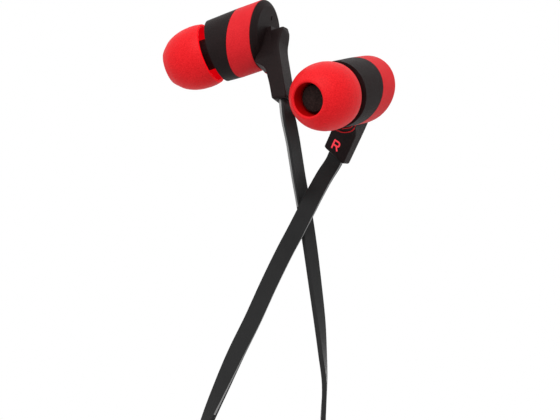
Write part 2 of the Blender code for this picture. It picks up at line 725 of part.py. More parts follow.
# Assemblies --------------------------------------------------------------------------------
def add_bud(side, matrix):
    frame = add_frame(f"{side}_bud", matrix)
    shells = {
        "front_housing": (front_housing_mesh(), "black_plastic"),
        "accent_band": (accent_band_mesh(), "red_plastic"),
        "eartip": (eartip_mesh(), "red_silicone"),
        "nozzle_filter": (filter_mesh(), "grey_felt"),
    }
    for name, (mesh, finish_name) in shells.items():
        add_object(f"{side}_{name}", mesh, finish_name, frame)
    add_rear(side, frame)
    add_driver(side, frame)
    add_stem_fittings(side, frame)
    return frame


def add_rear(side, frame):
    housing = add_object(f"{side}_rear_housing", cap_mesh(), "black_plastic", frame)
    cover = add_object(f"{side}_stem_cover", stem_cover_mesh(), "black_plastic", frame)
    stem = add_cutter(f"{side}_stem_solid", stem_front_mesh(), frame)
    boolean(housing, stem, 'UNION')
    names = ("trough", "slot", "way_in", "vent")
    for name, mesh in zip(names, channel_meshes()):
        cutter = add_cutter(f"{side}_{name}_cut", mesh, frame)
        boolean(housing, cutter, 'DIFFERENCE')
        if name in ("trough", "slot"):
            boolean(cover, cutter, 'DIFFERENCE')
    vent_low = CAP_BACK + CAP_FLOOR + GAP + VENT_PLACE * LEAN
    mesh_patch = turned("vent_mesh", disc(0.6 * MM, 0, 0.2 * MM), SMALL_SIDES, closed=False)
    patch = add_object(f"{side}_vent_mesh", mesh_patch, "steel", frame)
    patch.matrix_local = Matrix.Translation((VENT_PLACE, 0, vent_low)) @ Matrix.Rotation(-REAR_LEAN, 4, 'Y')


def add_driver(side, frame):
    finishes = {
        "driver_front_plate": "nickel", "diaphragm": "clear_film", "voice_coil": "copper",
        "driver_pole_plate": "steel", "driver_magnet": "nickel", "driver_yoke": "steel",
        "driver_basket": "white_plastic", "terminal_board": "circuit_board",
    }
    meshes, board_low = driver_meshes()
    for name, mesh in meshes.items():
        add_object(f"{side}_{name}", mesh, finishes[name], frame)
    for name, sign, finish_name in (("lead_hot", 1, "red_enamel"), ("lead_return", -1, "green_enamel")):
        data = bpy.data.curves.new(f"{side}_{name}", 'CURVE')
        data.dimensions = '3D'
        data.use_fill_caps = True
        data.bevel_depth = LEAD_RADIUS
        data.bevel_resolution = 0
        spline = data.splines.new('POLY')
        points = lead_points(sign, board_low)
        spline.points.add(len(points) - 1)
        for place, point in zip(spline.points, points):
            place.co = (*point, 1)
        add_object(f"{side}_{name}", data, finish_name, frame)


def add_stem_fittings(side, frame):
    """The moulded anchor that holds the cable in the stem."""
    end = STEM_END - SLOT_LENGTH - GAP
    half = CORD_WIDTH / 2
    anchor = rounded_block("cable_anchor", (end - ANCHOR_LENGTH, -half, STEM_MIDDLE - ANCHOR_DEPTH / 2),
                           (end, half, STEM_MIDDLE + ANCHOR_DEPTH / 2), 0.3 * MM, 1)
    add_object(f"{side}_cable_anchor", anchor, "black_cable", frame)


def add_splitter():
    """Two snapped shells round a moulded core, with the cables at their ends."""
    place = side_point(SPLITTER_ANGLE, SPLITTER_RADIUS, 0, SPLITTER_HEIGHT / 2)
    matrix = Matrix.Translation(place[:3]) @ Matrix.Rotation(math.radians(SPLITTER_ANGLE), 4, 'Z')
    frame = add_frame("splitter_frame", matrix)
    depth, length, height = SPLITTER_DEPTH / 2, SPLITTER_LENGTH / 2, SPLITTER_HEIGHT / 2
    wall = SPLITTER_WALL
    hollow = block("splitter_hollow", (-depth + wall, -length + wall, -height + wall),
                   (depth - wall, length - wall, height - wall))
    hollow_cut = add_cutter("splitter_hollow_cut", hollow, frame)
    for name, low, high in (("inner", -depth, -HALF_GAP), ("outer", HALF_GAP, depth)):
        shell_mesh = rounded_block(f"splitter_{name}", (low, -length, -height), (high, length, height),
                                   0.4 * MM)
        shell = add_object(f"splitter_{name}_shell", shell_mesh, "black_plastic", frame)
        boolean(shell, hollow_cut, 'DIFFERENCE')
    inset = wall + GAP
    core = rounded_block("splitter_core", (-depth + inset, -length + inset, -height + inset),
                         (depth - inset, length - inset, height - inset), 0.3 * MM, 1)
    add_object("splitter_core", core, "white_plastic", frame)


def add_tie():
    """A flat strap round all the cables of the hank's side at 0 degrees."""
    clear = CORD_THICKNESS / 2 + GAP
    inner = main_radius(SPLITTER_ANGLE + MAIN_SWEEP) - clear
    outer = arm_radius(360, 0) + clear
    low, high = TIE_THICKNESS, COIL_FLOOR + CORD_WIDTH + GAP
    edit = bmesh.new()
    skin = TIE_THICKNESS
    bends = 0.5 * MM
    around = []
    for inset in (0.0, skin):
        x0, x1, z0, z1 = inner - skin + inset, outer + skin - inset, low - skin + inset, high + skin - inset
        cut = bends - inset * 0.6
        around.append([(x0 + cut, z0), (x1 - cut, z0), (x1, z0 + cut), (x1, z1 - cut),
                       (x1 - cut, z1), (x0 + cut, z1), (x0, z1 - cut), (x0, z0 + cut)])
    rows = []
    for y in (-TIE_WIDTH / 2, TIE_WIDTH / 2):
        rows.append([[edit.verts.new((x, y, z)) for x, z in loop] for loop in around])
    count = len(around[0])
    for step in range(count):
        after = (step + 1) % count
        for first, second in (((0, 0), (1, 0)), ((0, 1), (1, 1)), ((0, 0), (0, 1)), ((1, 0), (1, 1))):
            a, b = rows[first[0]][first[1]], rows[second[0]][second[1]]
            edit.faces.new((a[step], a[after], b[after], b[step]))
    frame = add_frame("tie_frame", Matrix.Translation((*HANK_CENTRE, 0)))
    add_object("cord_tie", mesh_from("cord_tie", edit), "black_plastic", frame)


def add_plug():
    """An angled plug lying in the hank: Y runs along its body, -X along its pin."""
    place = side_point(PLUG_ANGLE, PLUG_CHORD, 0, PLUG_MIDDLE)
    frame = add_frame("plug_frame", Matrix.Translation(place[:3])
                      @ Matrix.Rotation(math.radians(PLUG_ANGLE), 4, 'Z'))
    half, height = PLUG_BODY_WIDTH / 2, PLUG_BODY_HEIGHT / 2
    body_start = -1.0 * MM
    body_end = body_start + PLUG_BODY_LENGTH
    housing_mesh = rounded_block("plug_housing", (-half, body_start, -height), (half, body_end, height),
                                 0.6 * MM)
    housing = add_object("plug_housing", housing_mesh, "black_plastic", frame)
    boot = []
    for y, wide, tall in ((body_start - GAP, 0.8, 0.8), (body_start - 2 * MM, 0.78, 0.72),
                          (body_start - BOOT_LENGTH, 0.45, 0.62)):
        x, z = half * wide, height * tall
        cut = 0.3 * x
        boot.append([(-x + cut, y, -z), (x - cut, y, -z), (x, y, -z + cut), (x, y, z - cut),
                     (x - cut, y, z), (-x + cut, y, z), (-x, y, z - cut), (-x, y, -z + cut)])
    add_object("plug_boot", lofted("plug_boot", boot), "black_plastic", frame)
    add_pin(frame, housing, -half, body_end - PLUG_PIN_INSET)


def add_pin(frame, housing, shoulder, along):
    """Sleeve, ring and tip contacts on one rod, parted by insulating rings."""
    pin_frame = add_frame("plug_pin_frame", Matrix.Identity(4))
    pin_frame.parent = frame
    pin_frame.matrix_local = Matrix.Translation((shoulder, along, 0)) @ Matrix.Rotation(-math.pi / 2, 4, 'Y')
    seat = 1.2 * MM
    rod_bore = PIN_ROD_RADIUS + GAP
    tip_base = PIN_LENGTH - PIN_TIP_LENGTH
    ring_high = tip_base - PIN_SPACER - 2 * GAP
    ring_low = ring_high - PIN_RING_LENGTH
    sleeve_high = ring_low - PIN_SPACER - 2 * GAP
    socket = turned("pin_socket", disc(PIN_RADIUS + GAP, -seat - GAP, seat), SMALL_SIDES, closed=False)
    boolean(housing, add_cutter("pin_socket_cut", socket, pin_frame), 'DIFFERENCE')
    sleeve = turned("plug_sleeve", ring(PIN_RADIUS, rod_bore, -seat, sleeve_high), SMALL_SIDES)
    add_object("plug_sleeve", sleeve, "gold", pin_frame)
    contact = turned("plug_ring", ring(PIN_RADIUS, rod_bore, ring_low, ring_high), SMALL_SIDES)
    add_object("plug_ring", contact, "gold", pin_frame)
    for name, base in (("plug_rear_insulator", sleeve_high), ("plug_front_insulator", ring_high)):
        spacer = ring(PIN_RADIUS - 0.1 * MM, rod_bore, base + GAP, base + GAP + PIN_SPACER)
        add_object(name, turned(name, spacer, SMALL_SIDES), "black_plastic", pin_frame)
    tip = turned("plug_tip", [
        (0, -seat, 0), (PIN_ROD_RADIUS, -seat, 0), (PIN_ROD_RADIUS, tip_base, 0), (PIN_RADIUS, tip_base, 0),
        (PIN_RADIUS, tip_base + 0.5 * MM, 0), (PIN_RADIUS * 0.72, tip_base + 1.0 * MM, 0),
        (PIN_RADIUS * 0.97, tip_base + 1.7 * MM, 0), (PIN_RADIUS * 0.8, PIN_LENGTH - 0.7 * MM, 0),
        (PIN_RADIUS * 0.35, PIN_LENGTH - 0.1 * MM, 0), (0, PIN_LENGTH, 0)], SMALL_SIDES, closed=False)
    add_object("plug_tip", tip, "gold", pin_frame)


def add_cables(left, right):
    coils = {
        "left": arm_coil_points(LEFT_JOIN, 1),
        "right": arm_coil_points(RIGHT_JOIN, 0),
        "main": main_coil_points(),
    }
    runs = (("left", left, LEFT_ROUTE, LEFT_JOIN), ("right", right, RIGHT_ROUTE, RIGHT_JOIN))
    for name, matrix, route, join in runs:
        meeting = Vector(coils[name][0][:2])
        heading = hank_heading(join)
        ends = [(*(meeting - heading * back), COIL_HEIGHT_MIDDLE, 90) for back in (CORD_WIDTH + GAP, GAP)]
        points = smooth_through(stem_exit(matrix) + route_points(route) + ends, 2)
        flat_cord(f"{name}_cord_run", points, 2)
        print(f"{name} cable: run {length_of(points):.4f} m, coil {length_of(coils[name]):.4f} m")
    for name, points in coils.items():
        flat_cord(f"{name}_cord_coil", points, 1)
        gap = least_gap(points, CORD_THICKNESS)
        print(f"{name} coil: length {length_of(points):.4f} m, least gap to itself {gap / MM:.2f} mm")


def build():
    for obj in list(bpy.data.objects):
        bpy.data.objects.remove(obj, do_unlink=True)
    left = bud_matrix(LEFT_CENTRE, LEFT_AZIMUTH, LEFT_ELEVATION, LEFT_TURN)
    right = bud_matrix(RIGHT_CENTRE, RIGHT_AZIMUTH, RIGHT_ELEVATION, RIGHT_TURN)
    add_bud("left", left)
    add_bud("right", right)
    add_cables(left, right)
    add_splitter()
    add_tie()
    add_plug()


build()
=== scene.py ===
import math

import bmesh
import bpy
from mathutils import Matrix, Vector


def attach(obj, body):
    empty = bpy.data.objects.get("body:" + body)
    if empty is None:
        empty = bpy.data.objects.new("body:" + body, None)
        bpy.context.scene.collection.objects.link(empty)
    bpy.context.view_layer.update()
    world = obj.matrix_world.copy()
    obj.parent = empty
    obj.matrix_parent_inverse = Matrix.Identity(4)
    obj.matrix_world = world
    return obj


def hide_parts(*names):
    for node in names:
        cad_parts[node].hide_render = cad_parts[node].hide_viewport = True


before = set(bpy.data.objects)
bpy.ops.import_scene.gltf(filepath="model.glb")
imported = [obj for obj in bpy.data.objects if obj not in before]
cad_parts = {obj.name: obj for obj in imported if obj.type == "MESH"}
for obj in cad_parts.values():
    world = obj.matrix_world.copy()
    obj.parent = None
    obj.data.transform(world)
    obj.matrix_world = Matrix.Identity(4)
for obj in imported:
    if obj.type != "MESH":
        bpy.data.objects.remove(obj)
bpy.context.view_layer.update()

# Looks of the wired earphones. Lengths are metres, in the CAD model's frame: the table is
# z = 0 and the two buds lie round the origin. Each bud's own frame has Z along the nozzle
# and X down the stem.
MM = 0.001
SEAM = 0.03 * MM                      # hairline between closed shells
STEM_SEAM = 0.004 * MM                # between the stem's two halves
END_ROUND = 0.5 * MM
FACETS = 112

# Buds
LEFT_CENTRE = (-2.50 * MM, 8.32 * MM, 10.30 * MM)
LEFT_AZIMUTH = math.radians(196.7)
LEFT_ELEVATION = math.radians(-18.0)
LEFT_TURN = math.radians(19.8)
RIGHT_CENTRE = (15.99 * MM, -1.84 * MM, 9.68 * MM)
RIGHT_AZIMUTH = math.radians(197.6)
RIGHT_ELEVATION = math.radians(55.1)
RIGHT_TURN = math.radians(-33.2)
LEAN = math.tan(math.radians(19.4))
DRUM_RADIUS = 6.2 * MM
DRUM_FRONT_RADIUS = 6.0 * MM
BAND_LENGTH = 4.7 * MM
BAND_BORE = 5.3 * MM
DRUM_LENGTH = 9.5 * MM
CAP_RADIUS = 6.05 * MM
CAP_BACK = -0.8 * MM
CAP_STEP_RADIUS = 4.85 * MM
CAP_STEP = 0.12 * MM
VENT_PLACE = -2.9 * MM
VENT_LENGTH = 0.8 * MM
VENT_WIDTH = 0.44 * MM
NOZZLE_RADIUS = 2.3 * MM
NOZZLE_BORE = 1.7 * MM
NOZZLE_END = 17.0 * MM
COLLAR_RADIUS = 2.95 * MM
COLLAR_END = 12.9 * MM
TIP_RADIUS = 6.0 * MM
TIP_RIM_RADIUS = 5.75 * MM
TIP_RIM = 11.0 * MM
TIP_MOUTH = 19.7 * MM
TIP_MOUTH_RADIUS = 2.85 * MM
TIP_BORE = 2.8 * MM
TIP_CORE = 3.5 * MM
TIP_WALL = 0.55 * MM
TIP_SWELL = {"left": 1.0, "right": 1.03}     # the right eartip looks a little wider
STEM_END = 14.8 * MM
STEM_WIDTH = 5.2 * MM
STEM_MIDDLE = -1.95 * MM
STEM_FRONT = -0.4 * MM
STEM_BACK = -3.25 * MM
SLOT_LENGTH = 2.6 * MM
SLOT_WIDTH = 3.7 * MM
SLOT_HEIGHT = 1.2 * MM
STRAIGHT_START = 10 * MM              # where the stem's straight end begins
FIN_TOP_LENGTH = 1.5 * MM
STEM_CORNER = 0.35 * MM

# Cables
CORD_WIDTH = 3.3 * MM
CORD_THICKNESS = 0.95 * MM
CORD_EASE = 0.12 * MM
LANE_PITCH = 1.5 * MM
HANK_CENTRE = (0.0, -122.5 * MM)
HANK_SIDE = 40.0 * MM
HANK_RADIUS = 24.5 * MM
COIL_FLOOR = 0.7 * MM
COIL_MIDDLE = COIL_FLOOR + CORD_WIDTH / 2
LEFT_JOIN, RIGHT_JOIN = 105, 180
SPLITTER_ANGLE = 540
SPLITTER_RADIUS = 19.5 * MM
SPLITTER_DEPTH = 3.9 * MM
SPLITTER_LENGTH = 10.0 * MM
SPLITTER_HEIGHT = 4.6 * MM
MAIN_UNDER_RADIUS = 16.7 * MM
MAIN_SWEEP = 1620
PLUG_ANGLE = SPLITTER_ANGLE + MAIN_SWEEP + 180
PLUG_CHORD = 8.0 * MM
PLUG_MIDDLE = 2.75 * MM
PLUG_WIDTH = 5.0 * MM
PLUG_START = -1.0 * MM
PLUG_END = 9.0 * MM
BOOT_END = 6.0 * MM
BOOT_LENGTH = 5.0 * MM
GAP = 0.3 * MM                        # clearance between pieces
PIN_INSET = 2.7 * MM                  # from the plug's end to the pin's axis
PIN_RADIUS = 1.75 * MM
PIN_LENGTH = 14.0 * MM
PIN_SEAT = 1.2 * MM
PIN_ROD_RADIUS = 0.45 * MM
PIN_BORE = PIN_ROD_RADIUS + GAP
PIN_TIP_LENGTH = 3.2 * MM
PIN_RING_LENGTH = 2.0 * MM
PIN_SPACER = 0.5 * MM
TIE_WIDTH = 3.5 * MM
TIE_SKIN = 0.4 * MM
TIE_CORNER = 0.95 * MM
SHELL_WALL = 0.6 * MM
UPRIGHT = 90                          # degrees: a cable's section standing on its edge
FINE_STEP = 6                         # degrees between points of the hank's half circles
STRAIGHT_SHARES = (1, 0.8, 0.4, 0, -0.4, -0.8, -1)    # where a straight side's points lie along it
STRAIGHT_STEPS = len(STRAIGHT_SHARES) - 1
LEFT_TWIST, RIGHT_TWIST = 7, 0        # degrees that a cable turns as it leaves its stem
LEFT_HIGHLIGHT_REACH = -24 * MM             # how far down the table a cable's edge has its painted highlight
RIGHT_HIGHLIGHT_REACH = -64 * MM

# Each point: across, along and up in millimetres, and the section's angle in degrees
LEFT_ROUTE = [
    (2.0, -8.2, 17.6, 129), (2.75, -11.6, 15.6, 128), (3.35, -14.8, 11.6, 129),
    (3.95, -18.0, 6.6, 131), (4.6, -21.2, 2.7, 132), (5.2, -24.4, 1.4, 133),
    (5.85, -28.5, 1.32, 133), (6.5, -33.0, 1.32, 131), (7.35, -39.5, 1.45, 126),
    (8.15, -46.0, 1.55, 119), (8.7, -52.1, 1.65, 107), (9.1, -58.0, 1.7, 95),
    (8.8, -65.0, 1.7, 90), (8.85, -69.4, 1.8, 90), (8.0, -73.2, 1.9, 90),
    (5.6, -76.3, 2.0, 90), (2.2, -78.1, 2.15, 90),
]
RIGHT_ROUTE = [
    (9.0, -18.0, 2.3, 20), (7.15, -21.3, 3.5, 17), (5.45, -24.6, 4.1, 14),
    (3.4, -28.6, 3.1, 10), (1.2, -32.8, 1.5, 8), (-1.8, -39.0, 0.7, 8),
    (-4.9, -45.8, 0.72, 9), (-8.0, -52.1, 0.9, 18), (-10.8, -58.4, 1.25, 36),
    (-13.5, -64.8, 1.52, 54), (-16.8, -73.5, 1.7, 78), (-20.3, -84.0, 1.8, 90),
    (-22.8, -93.5, 2.0, 90),
]


# Materials ---------------------------------------------------------------------------------
def finish(name, colour, roughness, grain=0.1, grain_size=0.12, vary=0.12, rough_vary=0.08,
           patch_size=2.5, fine_share=0.5, speckle=0.0, **sockets):
    """A procedural finish: a fine grain in the bump, and soft uneven colour and roughness.

    vary is the share by which the colour rises and falls, and speckle is added to its light
    spots. Sizes are millimetres. The other names are the shader's own inputs.
    """
    dim, bright = 0.3, 0.7            # the noise's useful range
    made = bpy.data.materials.new(name)
    made.use_nodes = True
    nodes, links = made.node_tree.nodes, made.node_tree.links
    shader = nodes["Principled BSDF"]
    place = nodes.new("ShaderNodeTexCoord")
    patches = nodes.new("ShaderNodeTexNoise")
    patches.inputs["Scale"].default_value = 1 / (patch_size * MM)
    patches.inputs["Detail"].default_value = 4
    fine = nodes.new("ShaderNodeTexNoise")
    fine.inputs["Scale"].default_value = 1 / (grain_size * MM)
    fine.inputs["Detail"].default_value = 3
    fine.inputs["Roughness"].default_value = 0.6
    for noise in (patches, fine):
        links.new(place.outputs["Object"], noise.inputs["Vector"])
    both = nodes.new("ShaderNodeMix")
    both.data_type = 'FLOAT'
    both.inputs["Factor"].default_value = fine_share
    links.new(patches.outputs["Fac"], both.inputs["A"])
    links.new(fine.outputs["Fac"], both.inputs["B"])
    ramp = nodes.new("ShaderNodeValToRGB")
    ramp.color_ramp.elements[0].position = dim
    ramp.color_ramp.elements[1].position = bright
    ramp.color_ramp.elements[0].color = (*(c * (1 - vary) for c in colour), 1)
    ramp.color_ramp.elements[1].color = (*(min(1, c * (1 + vary) + speckle) for c in colour), 1)
    links.new(both.outputs["Result"], ramp.inputs["Fac"])
    links.new(ramp.outputs["Color"], shader.inputs["Base Color"])
    spread = nodes.new("ShaderNodeMapRange")
    spread.inputs["From Min"].default_value = dim
    spread.inputs["From Max"].default_value = bright
    spread.inputs["To Min"].default_value = max(0.0, roughness - rough_vary)
    spread.inputs["To Max"].default_value = min(1.0, roughness + rough_vary)
    links.new(both.outputs["Result"], spread.inputs["Value"])
    links.new(spread.outputs["Result"], shader.inputs["Roughness"])
    bump = nodes.new("ShaderNodeBump")
    bump.inputs["Strength"].default_value = grain
    bump.inputs["Distance"].default_value = grain_size * MM * 0.5
    links.new(fine.outputs["Fac"], bump.inputs["Height"])
    links.new(bump.outputs["Normal"], shader.inputs["Normal"])
    for socket, value in sockets.items():
        shader.inputs[socket.replace("_", " ")].default_value = value
    return made


FINISH_ROWS = {
    "red_silicone": dict(colour=(0.73, 0.0, 0.0045), roughness=0.5, grain=0.3, grain_size=0.22, vary=0.16,
                         fine_share=0.9, speckle=0.014, Specular_IOR_Level=0.15),
    # painted glow: a lighter red with emission for the skirt's inside, standing in for light shining
    # through the thin skirt
    "painted_glow_silicone": dict(colour=(0.78, 0.0035, 0.008), roughness=0.5, grain=0.35, vary=0.07,
                         Specular_IOR_Level=0.1, Emission_Color=(1.0, 0.0, 0.008, 1.0),
                         Emission_Strength=0.4),
    # painted shade: a darker copy of the red silicone for the tip's bore
    "painted_shade_silicone": dict(colour=(0.40, 0.0005, 0.001), roughness=0.6, grain=0.35, vary=0.07,
                          Specular_IOR_Level=0.05),
    "red_plastic": dict(colour=(0.63, 0.006, 0.012), roughness=0.55, grain=0.4, grain_size=0.2, vary=0.14,
                        fine_share=0.8, speckle=0.012, Specular_IOR_Level=0.15),
    "black_plastic": dict(colour=(0.0104, 0.0050, 0.0051), roughness=0.55, grain=0.9, grain_size=0.2,
                          vary=0.6, fine_share=0.7, Specular_IOR_Level=0.13),
    "black_cable": dict(colour=(0.0212, 0.0212, 0.0214), roughness=0.6, grain=0.6, vary=0.25,
                        fine_share=0.8, Specular_IOR_Level=0.12, Sheen_Weight=0.6, Sheen_Roughness=0.2),
    # painted highlight: a light grey copy of the cable's finish for its cut edge, where the edge would
    # catch the light
    "painted_highlight_cable": dict(colour=(0.28, 0.28, 0.28), roughness=0.6, grain=0.3, vary=0.1,
                      Specular_IOR_Level=0.2),
    "grey_felt": dict(colour=(0.022, 0.013, 0.012), roughness=0.95, grain=1.0, grain_size=0.25, vary=0.7,
                      patch_size=0.5, Specular_IOR_Level=0.1),
    "steel": dict(colour=(0.55, 0.55, 0.56), roughness=0.3, vary=0.06, Metallic=1.0),
    "nickel": dict(colour=(0.75, 0.74, 0.72), roughness=0.2, vary=0.04, Metallic=1.0),
    "gold": dict(colour=(0.86, 0.63, 0.27), roughness=0.2, grain=0.04, vary=0.05, Metallic=1.0),
    "copper": dict(colour=(0.72, 0.36, 0.18), roughness=0.35, grain=0.4, vary=0.1, Metallic=1.0),
    "clear_film": dict(colour=(0.72, 0.66, 0.5), roughness=0.25, vary=0.05),
    "circuit_board": dict(colour=(0.02, 0.12, 0.05), roughness=0.4, vary=0.15),
    "red_enamel": dict(colour=(0.6, 0.05, 0.04), roughness=0.3, vary=0.08),
    "green_enamel": dict(colour=(0.05, 0.35, 0.12), roughness=0.3, vary=0.08),
    "white_plastic": dict(colour=(0.8, 0.8, 0.78), roughness=0.4, vary=0.03),
    # the letter's red is its print; the emission is a painted glow that brightens it on the stem's shaded
    # face
    "letter_print_painted_glow": dict(colour=(0.95, 0.04, 0.065), roughness=0.5, vary=0.04,
                         Emission_Color=(1.0, 0.035, 0.06, 1.0), Emission_Strength=0.35),
}
FINISHES = {name: finish(name, **row) for name, row in FINISH_ROWS.items()}
# The solids that show as they are; the rest of them are black plastic
CAD_FINISHES = {
    "vent_mesh": "grey_felt", "driver_front_plate": "nickel", "diaphragm": "clear_film",
    "voice_coil": "copper", "driver_pole_plate": "steel", "driver_magnet": "nickel",
    "driver_yoke": "steel", "driver_basket": "white_plastic", "terminal_board": "circuit_board",
    "lead_hot": "red_enamel", "lead_return": "green_enamel", "cable_anchor": "black_cable",
    "splitter_core": "white_plastic",
}


# Mesh helpers ------------------------------------------------------------------------------
def linked(name, data):
    made = bpy.data.objects.new(name, data)
    bpy.context.scene.collection.objects.link(made)
    return made


def add_piece(name, data, finish_name, body, matrix=None):
    """One finished piece, its mesh moved into the model's frame."""
    piece = linked(name, data)
    piece.data.materials.append(FINISHES[finish_name])
    if matrix:
        data.transform(matrix)
    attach(piece, body)
    return piece


def shaded(mesh, smooth_angle):
    """Smooth but for the edges that are sharper than this angle in degrees."""
    mesh.shade_smooth()
    mesh.set_sharp_from_angle(angle=math.radians(smooth_angle))
    return mesh


def mesh_from(name, edit, smooth_angle=35):
    bmesh.ops.recalc_face_normals(edit, faces=edit.faces)
    mesh = bpy.data.meshes.new(name)
    edit.to_mesh(mesh)
    edit.free()
    return shaded(mesh, smooth_angle)


def final_mesh(helper):
    """A new mesh of what an object shows, with its modifiers or its bevel."""
    shown = helper.evaluated_get(bpy.context.evaluated_depsgraph_get())
    return bpy.data.meshes.new_from_object(shown)


def rounded(corners, steps=5):
    """Round an open line of corners: each ends with how far its rounding reaches."""
    line = []
    last = len(corners) - 1
    for index, corner in enumerate(corners):
        here, cut = Vector(corner[:-1]), corner[-1]
        if cut == 0 or index in (0, last):
            line.append(here)
            continue
        before = Vector(corners[index - 1][:-1]) - here
        after = Vector(corners[index + 1][:-1]) - here
        start = here + before.normalized() * min(cut, before.length * 0.49)
        end = here + after.normalized() * min(cut, after.length * 0.49)
        for step in range(steps + 1):
            t = step / steps
            line.append(start * (1 - t) ** 2 + here * (2 * t * (1 - t)) + end * t ** 2)
    return line


def turned(name, outline, closed=False, facets=FACETS, smooth_angle=35):
    """Turn an outline of (radius, axial place, share of the rear lean) about the Z axis."""
    edit = bmesh.new()
    rows = []
    for radius, place, lean in outline:
        if radius <= 0:
            rows.append([edit.verts.new((0, 0, place))])
            continue
        row = []
        for step in range(facets):
            angle = 2 * math.pi * step / facets
            x = radius * math.cos(angle)
            row.append(edit.verts.new((x, radius * math.sin(angle), place + lean * LEAN * x)))
        rows.append(row)
    pairs = list(zip(rows, rows[1:]))
    if closed:
        pairs.append((rows[-1], rows[0]))
    for row, other in pairs:
        for step in range(facets):
            after = (step + 1) % facets
            corners = [row[step % len(row)], row[after % len(row)],
                       other[after % len(other)], other[step % len(other)]]
            edit.faces.new(list(dict.fromkeys(corners)))
    return mesh_from(name, edit, smooth_angle)


def bridge(edit, rings):
    """Faces from each ring of corners to the next."""
    count = len(rings[0])
    for ring, other in zip(rings, rings[1:]):
        for step in range(count):
            after = (step + 1) % count
            edit.faces.new((ring[step], ring[after], other[after], other[step]))


def lofted(name, sections, smooth_angle=35):
    """A closed skin over sections of as many points each."""
    edit = bmesh.new()
    rings = [[edit.verts.new(point) for point in section] for section in sections]
    bridge(edit, rings)
    edit.faces.new(rings[0])
    edit.faces.new(rings[-1])
    return mesh_from(name, edit, smooth_angle)


def smooth_through(points, steps):
    """A smooth curve through points, with this many steps from each to the next."""
    rows = [Vector(point) for point in points]
    ends = [2 * rows[0] - rows[1]] + rows + [2 * rows[-1] - rows[-2]]
    curve = []
    for before, start, end, after in zip(ends, ends[1:], ends[2:], ends[3:]):
        for step in range(steps):
            t = step / steps
            curve.append(0.5 * ((2 * start) + (end - before) * t
                                + (2 * before - 5 * start + 4 * end - after) * t ** 2
                                + (3 * start - before - 3 * end + after) * t ** 3))
    curve.append(rows[-1])
    return curve


def block(name, low, high, radius=0, segments=4):
    """A block between two corners, its edges rounded where it has a radius."""
    edit = bmesh.new()
    size = [b - a for a, b in zip(low, high)]
    middle = [(a + b) / 2 for a, b in zip(low, high)]
    bmesh.ops.create_cube(edit, size=1, matrix=Matrix.Translation(middle) @ Matrix.Diagonal((*size, 1)))
    if radius:
        bmesh.ops.bevel(edit, geom=edit.edges[:], offset=radius, segments=segments, affect='EDGES',
                        profile=0.5)
    return mesh_from(name, edit)


def combine(mesh, others, smooth_angle=35):
    """Union or subtract other meshes from one and return the finished mesh."""
    base = linked("combine_base", mesh)
    helpers = []
    for index, (operation, other) in enumerate(others):
        helper = linked(f"combine_{index}", other)
        helpers.append(helper)
        change = base.modifiers.new(f"step_{index}", 'BOOLEAN')
        change.operation = operation
        change.solver = 'EXACT'
        change.object = helper
    made = final_mesh(base)
    for helper in helpers + [base]:
        bpy.data.objects.remove(helper)
    return shaded(made, smooth_angle)


def even_shading(piece):
    """Weight normals by face area, so that flat faces stay flat beside fine rounding."""
    weigh = piece.modifiers.new("even_shading", 'WEIGHTED_NORMAL')
    weigh.keep_sharp = True
    weigh.weight = 90


# Frames ------------------------------------------------------------------------------------
def bud_matrix(centre, azimuth, elevation, turn):
    """Z is the nozzle's direction, X the stem's: towards the cable, turned about the nozzle."""
    flat = math.cos(elevation)
    axis = Vector((flat * math.cos(azimuth), flat * math.sin(azimuth), math.sin(elevation)))
    towards_cable = Vector((0, -1, 0))
    down = (towards_cable - axis * axis.dot(towards_cable)).normalized()
    across = axis.cross(down)
    stem = math.cos(turn) * down + math.sin(turn) * across
    side = axis.cross(stem)
    matrix = Matrix((stem, side, axis)).transposed().to_4x4()
    matrix.translation = centre
    return matrix


LEFT = bud_matrix(LEFT_CENTRE, LEFT_AZIMUTH, LEFT_ELEVATION, LEFT_TURN)
RIGHT = bud_matrix(RIGHT_CENTRE, RIGHT_AZIMUTH, RIGHT_ELEVATION, RIGHT_TURN)


# Camera ------------------------------------------------------------------------------------
CAMERA_PLACE = (0.45 * MM, -24.39 * MM, 234.2 * MM)
PHOTO_WIDTH = 560                     # pixels
FOCAL_LENGTH = 1200                   # pixels


def add_camera():
    data = bpy.data.cameras.new("camera")
    data.sensor_width = 36
    data.lens = FOCAL_LENGTH / PHOTO_WIDTH * data.sensor_width
    data.clip_start = 0.01
    camera = linked("camera", data)
    camera.location = CAMERA_PLACE
    bpy.context.scene.camera = camera


# Cables ------------------------------------------------------------------------------------
def section_angle(direction, broad):
    """The angle between a section's broad side and the level, in degrees."""
    up = (Vector((0, 0, 1)) - direction * direction.z).normalized()
    right = up.cross(direction)
    return math.degrees(math.atan2(broad.dot(up), broad.dot(right)))


def stem_exit(matrix, twist):
    """The first points of a bud's cable: straight out of its stem's slot."""
    direction = matrix.to_3x3() @ Vector((1, 0, 0))
    angle = section_angle(direction, matrix.to_3x3() @ Vector((0, 1, 0)))
    places = ((STEM_END - SLOT_LENGTH, 0), (STEM_END, 2), (STEM_END + CORD_THICKNESS * 2, twist))
    return [(*(matrix @ Vector((place, 0, STEM_MIDDLE))), angle % 180 + turn) for place, turn in places]


def hank_heading(degrees):
    """The way that the cable runs at this angle of the hank."""
    angle = math.radians(degrees)
    return Vector((-math.sin(angle), math.cos(angle)))


def side_point(degrees, chord, along, height=COIL_MIDDLE):
    """A point beside the hank's middle: chord out towards this angle, then along its heading."""
    out = Vector((math.cos(math.radians(degrees)), math.sin(math.radians(degrees))))
    place = Vector(HANK_CENTRE) + out * chord + hank_heading(degrees) * along
    return (*place, height, UPRIGHT)


